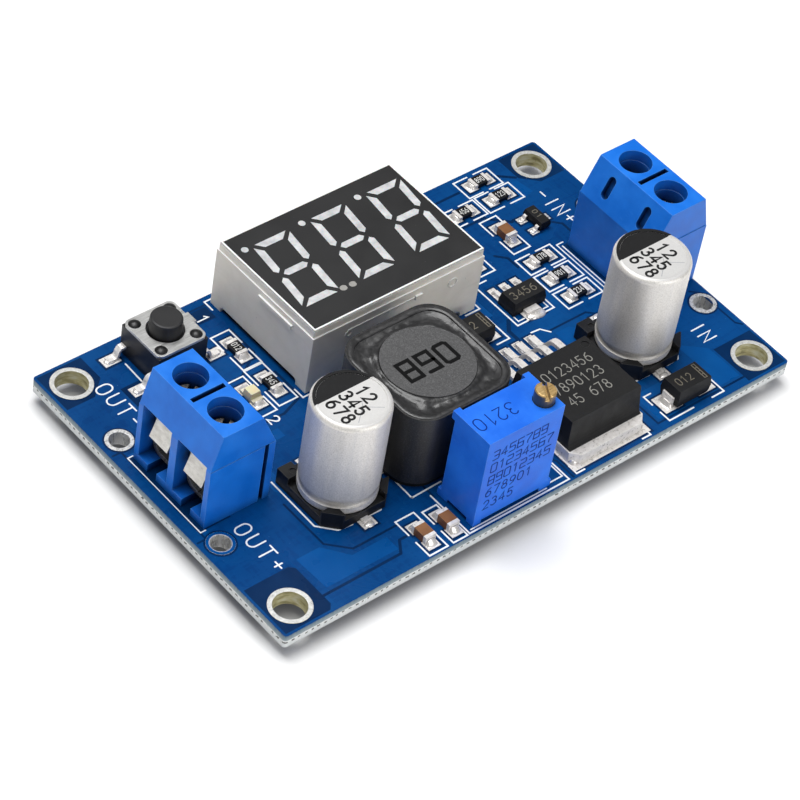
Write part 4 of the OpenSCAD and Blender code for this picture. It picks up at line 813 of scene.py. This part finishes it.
for width, *values in (
        (0.13, 1.95, 25.9, 1.35, 25.9, 1.35, 14.5, 1.95, 14.5),
        (0.15, 57.55, 25.5, 57.55, 14.2),
        (0.15, 58, 25.95, 57.1, 25.95, 57.1, 14.2),
        (0.16, 33.6, 1, 35.4, 1, 35.4, 5.9),
        (0.14, 23.2, 0.62, 33, 0.62),
        (0.15, 46.9, 19.55, 46.1, 19.55, 46.1, 20.4),
        (0.15, 49.5, 19.55, 50.15, 19.55, 50.15, 20.4)):
    line(mesh, places(values), width)
for x, y, text, *sizes in (
        (4.1, 35.1, "OUT-", 1.75, 1.15, 0.17, 1.72), (4.1, 13.2, "OUT+", 1.75, 1.15, 0.17, 1.78),
        (60.3, 33.2, "-IN+", 1.75, 1.05, 0.17, 1.45), (60.4, 9.3, "IN", 1.75, 1.05, 0.17, 1.45),
        (18.4, 37.5, "1", 1.3, 0.85, 0.19, 1.1), (15.8, 22.7, "2", 1.2, 0.8, 0.18, 1.1)):
    letters(mesh, Plane(x, y, 0, *TURNED), text, 0, 0, *sizes, SILK_TOP)
piece("white_print", mesh, "white_ink")

# Underside: copper gaps, tented vias and a little white print

mesh = bmesh.new()
below_gaps = [
    (0.35, 0.8, 6.9, 14, 6.9, 17, 9.9, 17, 30, 13, 34, 6.4, 34),
    (0.35, 59.6, 5.9, 52, 5.9, 49, 8.9, 49, 20, 45, 24, 45, 38.6),
    (0.3, 17, 14, 28, 14, 31, 17, 49, 17),
    (0.3, 20, 1, 20, 6, 36, 6, 36, 1),
    (0.3, 52.4, 38.6, 52.4, 32, 58, 26.4, 58, 14),
]
for i, (width, *values) in enumerate(below_gaps):
    stroke(mesh, BELOW, mirrored(places(values)), width, MASK_LOW, 0.008 + 0.0003 * i)
for x0, y0, _, x1, y1, _ in islands("solder_joints"):
    ring = circle((x0 + x1) / 2, (y0 + y1) / 2, (x1 - x0) / 2 + 0.22, 16)
    stroke(mesh, BELOW, mirrored(ring), 0.3, MASK_LOW, 0.012, True)
piece("mask_gaps_below", mesh, "mask_on_laminate")

mesh = bmesh.new()
vias = [(46.8, 31.4), (48.6, 32), (59.2, 32.2), (20.2, 21.2), (12.6, 29.6), (9.6, 24.2)]
for x, y, pitch, columns, rows in ((37.5, 2.6, 1.5, 7, 5), (8, 9, 1.6, 4, 2), (51, 9.4, 1.6, 3, 3)):
    vias += [(x + pitch * i, y + pitch * j) for i in range(columns) for j in range(rows)]
for via in vias:
    stroke(mesh, BELOW, mirrored(circle(*via, 0.2, 8)), 0.2, MASK_LOW, 0.02, True)
piece("tented_vias", mesh, "mask_on_pour")

mesh = bmesh.new()
for x, y, text, width, pitch in ((8.9, 22.9, "+", 1.1, 1.6), (8.9, 16.2, "-", 1.1, 1.6),
                                 (6.2, 26.6, "OUT", 1.1, 1.6), (58.4, 26.4, "IN", 1, 1.4)):
    letters(mesh, Plane(x, y, -BOARD_T, *TURNED_BELOW), text, 0, 0, 1.6, width, 0.22, pitch, SILK_TOP)
for sides in ((1.4, 14, 10.6, 26.4), (57.4, 13.8, 64.6, 26.2), (20.7, 23.1, 43.9, 38.95)):
    line(mesh, mirrored(rectangle(*sides)), 0.2, BELOW, True)
piece("white_print_below", mesh, "white_ink")

# Solder

FILLET_LOW = 0.05
BLOB_LOW = 0.04
CHIP_HALF = 1.05
IND_X, IND_Y = middle("inductor_shield")
IND_HALF = box_of("inductor_shield")[3] - IND_X


def fillet(mesh, x, y, dx, dy, width, height, reach):
    """Solder that climbs the end of a part: hollow from its tip on the pad up to the part's end face."""
    steps, across = 7, 8
    grid = []
    for i in range(steps + 1):
        k = i / steps
        row = []
        for j in range(across + 1):
            s = 2 * j / across - 1
            out = k * reach * (1 - 0.22 * s * s)
            w = width / 2 * (1 + 0.16 * k - 0.2 * k * k)
            rise = height * (1 - k) ** 1.9 * (1 - 0.3 * s ** 4)
            rise += 0.09 * sin(pi * min(k * 1.15, 1)) * (1 - s * s)
            z = FILLET_LOW + (0.004 if abs(s) == 1 or i == steps else max(rise, 0.012))
            row.append(mesh.verts.new(at(x + dx * out - dy * s * w, y + dy * out + dx * s * w, z)))
        grid.append(row)
    for one, two in zip(grid, grid[1:]):
        strip(mesh, one, two, False)
    foot = [mesh.verts.new(at(x - dy * s * width / 2, y + dx * s * width / 2, FILLET_LOW)) for s in (1, -1)]
    mesh.faces.new(grid[0] + foot)


def blob(mesh, x, y, rx, ry, height, seed):
    """A frozen drop of solder, a little uneven."""
    rings, sides = 5, 18
    rows = []
    for i in range(rings):
        lean = i / rings * pi / 2
        row = []
        for j in range(sides):
            a = 2 * pi * j / sides
            wave = 1 + 0.08 * sin(2 * a + seed) + 0.05 * sin(3 * a + 2 * seed)
            reach = wave * cos(lean) ** 0.75
            spot = at(x + rx * reach * cos(a), y + ry * reach * sin(a), BLOB_LOW + height * sin(lean))
            row.append(mesh.verts.new(spot))
        rows.append(row)
    for one, two in zip(rows, rows[1:]):
        strip(mesh, one, two)
    fan(mesh, rows[-1], mesh.verts.new(at(x, y, BLOB_LOW + height)))


mesh = bmesh.new()
resistors = [(19.2, 31.85, 1), (19.15, 26.25, 1), (54.15, 25.2, 0), (54.15, 22.3, 0), (54.15, 19.35, 0),
             (46.6, 27.9, 0), (56.4, 37.65, 0), (56.8, 34.75, 0), (51.7, 34.75, 0)]
ceramics = [(18.8, 2.55, 1), (21.75, 2.55, 1), (53.45, 30, 1)]
for chips, climb in ((resistors, 0.42), (ceramics, 0.6), ([(16.5, 25.95, 1)], 0.35)):
    for x, y, upright in chips:
        for s in (-1, 1):
            dx, dy = (0, s) if upright else (s, 0)
            fillet(mesh, x + dx * CHIP_HALF, y + dy * CHIP_HALF, dx, dy, 1.2, climb, 0.62)
for x0, _, _, x1, y1, _ in islands("regulator_leads"):
    x = (x0 + x1) / 2
    fillet(mesh, x, y1, 0, 1, 0.84, 0.34, 0.42)
    for s in (-1, 1):
        fillet(mesh, x + s * 0.4, y1 - 0.8, s, 0, 1.3, 0.3, 0.09)
for x0, _, _, x1, y1, _ in islands("small_regulator_leads"):
    if y1 > 22:
        fillet(mesh, (x0 + x1) / 2, y1, 0, 1, 0.7, 0.3, 0.36)
for x, y, side in ((50.75, 2.65, -1), (56.15, 2.65, 1), (36.95, 20, -1), (42.35, 20, 1)):
    fillet(mesh, x - side * 0.25, y, side, 0, 1.6, 0.5, 0.62)
for x, y in ((15.45, 11.55), (53.5, 10.6)):
    for s in (-1, 1):
        blob(mesh, x, y + s * 5, 0.62, 0.42, 0.2, s)
for x in (46.2, 37.6):
    blob(mesh, x, 1.95, 0.6, 0.62, 0.5, x)
blob(mesh, 48.3, 19.35, 1.1, 0.75, 0.3, 2)
for name, centre, back, *sizes in (("switch_leads", 12, 0.45, 0.78, 0.52, 0.2),
                                   ("transistor_leads", 57.6, -0.02, 0.36, 0.36, 0.17)):
    for x0, y0, _, x1, y1, _ in islands(name):
        side, tip = (1, x1) if x0 > centre else (-1, x0)
        blob(mesh, tip - side * back, (y0 + y1) / 2, *sizes, y0)
for s in (-1, 1):
    fillet(mesh, IND_X + s * (IND_HALF - 0.5), IND_Y, s, 0, 5, 0.3, 1.2)
piece("solder_fillets", mesh, "solder", smooth=True)

# Glue in the inductor's recess: a rounded square outside, the core's disc inside

GLUE_IN = box_of("inductor_core")[3] - IND_X + 0.01
GLUE_OUT = box_of("inductor_adhesive")[3] - IND_X - 0.01
GLUE_CORNER = 2.29
GLUE_TOP = top_of("inductor_shield")
GLUE_HEAPS = ((3.55, 3.7, 0.2), (-3.75, 3.6, 0.16), (-3.65, -3.7, 0.18), (3.8, -3.5, 0.22))
AROUND, DEEP = 160, 12
turns = [2 * pi * j / AROUND for j in range(AROUND)]


def rounded_square_radius(angle, half, corner):
    """Distance from the centre to the edge of a rounded square in one direction."""
    low, high = 0, half * 1.5
    c, s = abs(cos(angle)), abs(sin(angle))
    for _ in range(30):
        mid = (low + high) / 2
        qx, qy = mid * c - (half - corner), mid * s - (half - corner)
        gap = hypot(max(qx, 0), max(qy, 0)) + min(max(qx, qy), 0) - corner
        low, high = (low, mid) if gap > 0 else (mid, high)
    return low


def round_inductor(mesh, angle, profile):
    """Points in one direction from the inductor's middle, each given as (distance, height)."""
    return [mesh.verts.new(at(IND_X + r * cos(angle), IND_Y + r * sin(angle), z)) for r, z in profile]


mesh = bmesh.new()
rows = []
for a in turns:
    outer = rounded_square_radius(a, GLUE_OUT, GLUE_CORNER)
    room = (outer - GLUE_IN) / 2.2
    profile = []
    for i in range(DEEP + 1):
        k = i / DEEP
        r = GLUE_IN + (outer - GLUE_IN) * k
        x, y = r * cos(a), r * sin(a)
        wave = 0.11 * noise(Vector((x * 0.9, y * 0.9, 3.1)))
        wave += 0.05 * noise(Vector((x * 2.3, y * 2.3, 7.7)))
        sag = 0.3 * sin(pi * k) ** 0.8 * min(room, 1)
        lip = 0.07 * exp(-((k - 0.16) / 0.1) ** 2)
        z = GLUE_TOP - 0.055 - sag + lip * (0.6 + room) + wave * sin(pi * k)
        z += sum(h * exp(-((x - cx) ** 2 + (y - cy) ** 2) / 0.22) for cx, cy, h in GLUE_HEAPS)
        profile.append((r, min(z, GLUE_TOP - 0.01)))
    rows.append(round_inductor(mesh, a, profile + [(outer, GLUE_TOP - 0.5), (GLUE_IN, GLUE_TOP - 0.5)]))
hoop(mesh, rows)
glue = piece("glue_ring", mesh, "inductor_glue", smooth=True)
mesh = bmesh.new()
rows = []
for a in turns:
    inner = rounded_square_radius(a, GLUE_OUT - 0.1, GLUE_CORNER - 0.05)
    outer = rounded_square_radius(a, IND_HALF - 0.16, 2.86)
    profile = ((inner, -0.09), (inner + 0.06, 0), ((inner + outer) / 2, 0.05), (outer - 0.07, 0.035), (outer, -0.02))
    rows.append(round_inductor(mesh, a, [(r, GLUE_TOP + h) for r, h in profile]))
hoop(mesh, rows)
piece("glue_skin", mesh, "inductor_glue", smooth=True)
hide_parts("inductor_adhesive")

mesh = bmesh.new()
letters(mesh, Plane(IND_X, IND_Y, top_of("inductor_core")), "890", -3.1, -1.25, 2.45, 1.5, 0.42, 2.3, font=BOXY)
piece("core_number", mesh, "core_marking")

# The spring dome below the switch's button, the part that gives way when it is pressed; drawn here as a thin shell
# with its own mesh

DOME_T = 0.1
dome_box = box_of("switch_dome")
dome_middle = middle("switch_dome")
rise = dome_box[5] - dome_box[2]
half = (dome_box[3] - dome_box[0]) / 2
outer = (half ** 2 + rise ** 2) / (2 * rise)
inner = outer - DOME_T
inner_half = sqrt(inner ** 2 - (outer - rise) ** 2)
turns = [2 * pi * k / 48 for k in range(48)]
mesh = bmesh.new()


def dome_point(reach, radius, turn=0):
    height = dome_box[2] + rise - outer + sqrt(radius ** 2 - reach ** 2)
    x, y = dome_middle
    return mesh.verts.new(at(x + reach * cos(turn), y + reach * sin(turn), height))


profile = [(half * k / 8, outer) for k in range(1, 9)] + [(inner_half * k / 8, inner) for k in range(8, 0, -1)]
rings = [[dome_point(reach, radius, turn) for turn in turns] for reach, radius in profile]
for one, two in zip(rings, rings[1:]):
    strip(mesh, one, two)
fan(mesh, rings[0], dome_point(0, outer))
fan(mesh, rings[-1], dome_point(0, inner))
dome = piece("spring_dome", mesh, "switch_plate", smooth=True)
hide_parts("switch_dome")
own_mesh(dome)

# Capacitor tops: the black field, plain numbers and the faint lines of the vent

CAN_TOP_SUNK = 0.08
CAN_CHORD = 1.18
FIELD_R = 3.36
RIM_R = 3.72

for name in ("left_can", "right_can"):
    x, y = middle(name)
    high = top_of(name)
    top = Plane(x, y, high - CAN_TOP_SUNK)
    mesh = bmesh.new()
    start, edge = (degrees(asin(CAN_CHORD / r)) for r in (FIELD_R, RIM_R))
    slab(mesh, top, arc(0, 0, FIELD_R, FIELD_R, start, 180 - start, 22), -0.01, 0.012)
    rim = arc(0, 0, RIM_R, RIM_R, edge, 180 - edge, 22)
    rim += arc(0, 0, FIELD_R + 0.02, FIELD_R + 0.02, 180 - start, start, 22)
    slab(mesh, Plane(x, y, high), rim, -0.09, 0.012)
    for text, u, v in (("12", -0.7, 0.86), ("345", -1, -0.86), ("678", -0.85, -2.58)):
        letters(mesh, Plane(x, y, high - CAN_TOP_SUNK, *TURNED), text, u, v, 1.36, 0.76, 0.25, 1.14)
    piece(name + "_top_print", mesh, "black_ink")
    mesh = bmesh.new()
    for end in ((1.9, -2.5), (-1.4, -2.7), (0.5, -0.9)):
        stroke(mesh, top, [(0.2, -1.35), end], 0.07, -0.01, 0.006)
    piece(name + "_vent_lines", mesh, "score_line")

# Marks on the packages: plain numbers, and the band at the cathode end of each diode

mesh = bmesh.new()
for text, u, v in (("0123456", 0.2, 3.75), ("7890123", 0, 1.85), ("45 678", 0.3, -0.05)):
    letters(mesh, Plane(38.6, 4.4, top_of("regulator_body")), text, u, v, 1.2, 0.66, 0.1, 0.93)
piece("regulator_numbers", mesh, "laser_marking")

mesh = bmesh.new()
for x, y in ((53.45, 2.65), (39.65, 20)):
    top = Plane(x, y, top_of("input_diode_body"))
    letters(mesh, top, "012", -1.55, -0.5, 0.95, 0.5, 0.09, 0.74)
    for u in (1.42, 1.74):
        stroke(mesh, top, [(u, -1.02), (u, 1.02)], 0.1, -0.01, 0.012)
    for v in (-1.02, -0.5, 0, 0.5, 1.02):
        stroke(mesh, top, [(1.42, v), (1.74, v)], 0.07, -0.01, 0.0115)
letters(mesh, Plane(48.2, 21.5, top_of("small_regulator_body")), "3456", -1.7, -0.5, 0.95, 0.6, 0.1, 0.86)
letters(mesh, Plane(57.65, 29.8, top_of("transistor_body"), *TURNED), "01", -0.7, -0.28, 0.6, 0.42, 0.08, 0.72)
piece("package_numbers", mesh, "faint_marking")

mesh = bmesh.new()
codes = ("012", "345", "678", "901", "234", "567", "890", "123", "456")
for (x, y, upright), text in zip(resistors, codes):
    top = Plane(x, y, top_of("resistor_bodies"), *(TURNED if upright else ()))
    letters(mesh, top, text, -0.5, -0.36, 0.7, 0.26, 0.07, 0.37)
piece("chip_numbers", mesh, "chip_ink")

# The trimmer's engraved numbers are drawn as raised dark-blue strokes: painted shadow in the engraving.
mesh = bmesh.new()
top = Plane(28.32, 3.2, top_of("trimmer_body"), (-1, 0, 0), (0, -1, 0))
letters(mesh, top, "3210", -0.55, -0.85, 1.55, 0.95, 0.12, 1.32)
front = Plane(28.32, 0.775, 0, (1, 0, 0), (0, 0, 1))
for k, text in enumerate(("3456789", "01234567", "89012345", "678901", "2345")):
    letters(mesh, front, text, -3.9, 8.75 - 1.72 * k, 1.15, 0.72, 0.13, 1.02, font=BOXY if k < 3 else ROUND)
piece("trimmer_numbers", mesh, "engraved_shadow")

# The display: black round the segments, the pale ridge round its face and its two half-moon points

FACE_LEFT, FACE_FRONT, _, FACE_RIGHT, FACE_BACK, FACE_TOP = box_of("display_face")
face_plane = Plane(0, 0, FACE_TOP)
RIDGE_IN = 0.06


def top_outlines(name):
    """The closed outlines of a node's upper faces, in millimetres on the board."""
    data = nodes[name].data
    high = max(v.co.z for v in data.vertices)
    spot = {v.index: tuple(round(c, 3) for c in on_board(v.co)[:2]) for v in data.vertices}
    edges = set()
    for face in data.polygons:
        if all(data.vertices[i].co.z > high - 1e-6 for i in face.vertices):
            ring = [spot[i] for i in face.vertices]
            edges |= set(zip(ring, ring[1:] + ring[:1]))
    follow = {a: b for a, b in sorted(edges) if (b, a) not in edges}
    loops = []
    while follow:
        start = min(follow)
        loop = [start]
        while follow[loop[-1]] != start:
            loop.append(follow.pop(loop[-1]))
        follow.pop(loop[-1])
        loops.append(loop)
    return loops


mesh = bmesh.new()
for loop in top_outlines("display_segments"):
    stroke(mesh, face_plane, loop, 0.17, -0.02, 0.008, True)
piece("segment_borders", mesh, "display_film")

mesh = bmesh.new()
ridge = rectangle(FACE_LEFT + RIDGE_IN, FACE_FRONT + RIDGE_IN, FACE_RIGHT - RIDGE_IN, FACE_BACK - RIDGE_IN)
stroke(mesh, face_plane, ridge, 0.18, -0.1, 0.05, True)
piece("display_ridge", mesh, "display_shell")

mesh = bmesh.new()
for x, y in ((27.6, 26.75), (28.72, 26.68)):
    slab(mesh, face_plane, arc(x, y, 0.42, 0.36, 20, 330, 18), -0.02, 0.012)
piece("display_points", mesh, "smoked_resin")

# Floor, light and camera

p = Paint("floor_paper", 0.85, spec=0.1, Emission_Color=(1, 1, 1, 1))
rays = p.node("LightPath").outputs
seen = p.calc("MAXIMUM", rays["Is Camera Ray"], rays["Is Glossy Ray"])
seen = p.calc("MAXIMUM", seen, rays["Is Transmission Ray"])
p.put(p.shader.inputs["Emission Strength"], p.times(seen, 0.05))
p.bump((p.noise(0.25), 0.05, 0.2))
# The floor's colour darkens where ambient occlusion finds it closed in: painted contact shadow near and under the
# board.
p.finish(p.ramp(p.painted_shade_in_hollows(5.5, 0), (0, 0.32), (1, 0.92)))
mesh = bmesh.new()
bmesh.ops.create_grid(mesh, x_segments=1, y_segments=1, size=1.2)
floor = add_mesh("floor", mesh, "floor_paper")
floor.location = (0, 0, cad_box[0][2] - 0.0001)

world = bpy.data.worlds.new("studio")
scene.world = world
world.use_nodes = True
w = Tree(world.node_tree)
height = w.axis("Z", w.node("TexCoord").outputs["Generated"])
glow = w.ramp(height, (0, 0.15), (0.25, 0.18), (0.6, 0.15), (0.78, 0.24), (0.9, 0.95), (1, 1.25))
sky = w.node("Background", {"Color": glow, "Strength": 0.9})
white = w.node("Background", {"Color": (1, 1, 1, 1), "Strength": 1})
seen = w.node("LightPath").outputs["Is Camera Ray"]
shown = w.node("MixShader", {0: seen, 1: sky.outputs[0], 2: white.outputs[0]})
w.node("OutputWorld", {"Surface": shown.outputs[0]})


def softbox(name, place, target, size, watts):
    lamp = bpy.data.lights.new(name, "AREA")
    lamp.shape = "RECTANGLE"
    lamp.size, lamp.size_y = size
    lamp.energy = watts
    made = add(name, lamp)
    made.location = place
    made.rotation_euler = (Vector(target) - Vector(place)).to_track_quat("-Z", "Y").to_euler()


softbox("key", (-0.02, 0.12, 0.46), (0, 0, 0), (0.3, 0.3), 1.85)
softbox("side", (-0.38, -0.06, 0.17), (0, 0, 0.005), (0.16, 0.3), 0.08)
softbox("front", (0.06, -0.38, 0.17), (0, 0, 0.005), (0.3, 0.16), 0.56)

# The camera's focal length in pixels of a picture 800 wide, its directions and its place, measured from the photo
FOCAL_PIXELS = 3360.58
PICTURE_W = 800
RIGHT = Vector((0.75878319, -0.63831375, 0.12962878))
UP = Vector((0.38872793, 0.60347858, 0.69620701))
BACK = Vector((-0.5226267, -0.47787985, 0.70603979))
EYE = (-0.177341, -0.160343, 0.235245)
camera_data = bpy.data.cameras.new("camera")
camera_data.sensor_width = 36
camera_data.lens = FOCAL_PIXELS * camera_data.sensor_width / PICTURE_W
camera_data.clip_start = 0.01
camera = add("camera", camera_data)
camera.matrix_world = Matrix.Translation(EYE) @ Matrix((RIGHT, UP, BACK)).transposed().to_4x4()
scene.camera = camera
scene.view_settings.view_transform = "Standard"
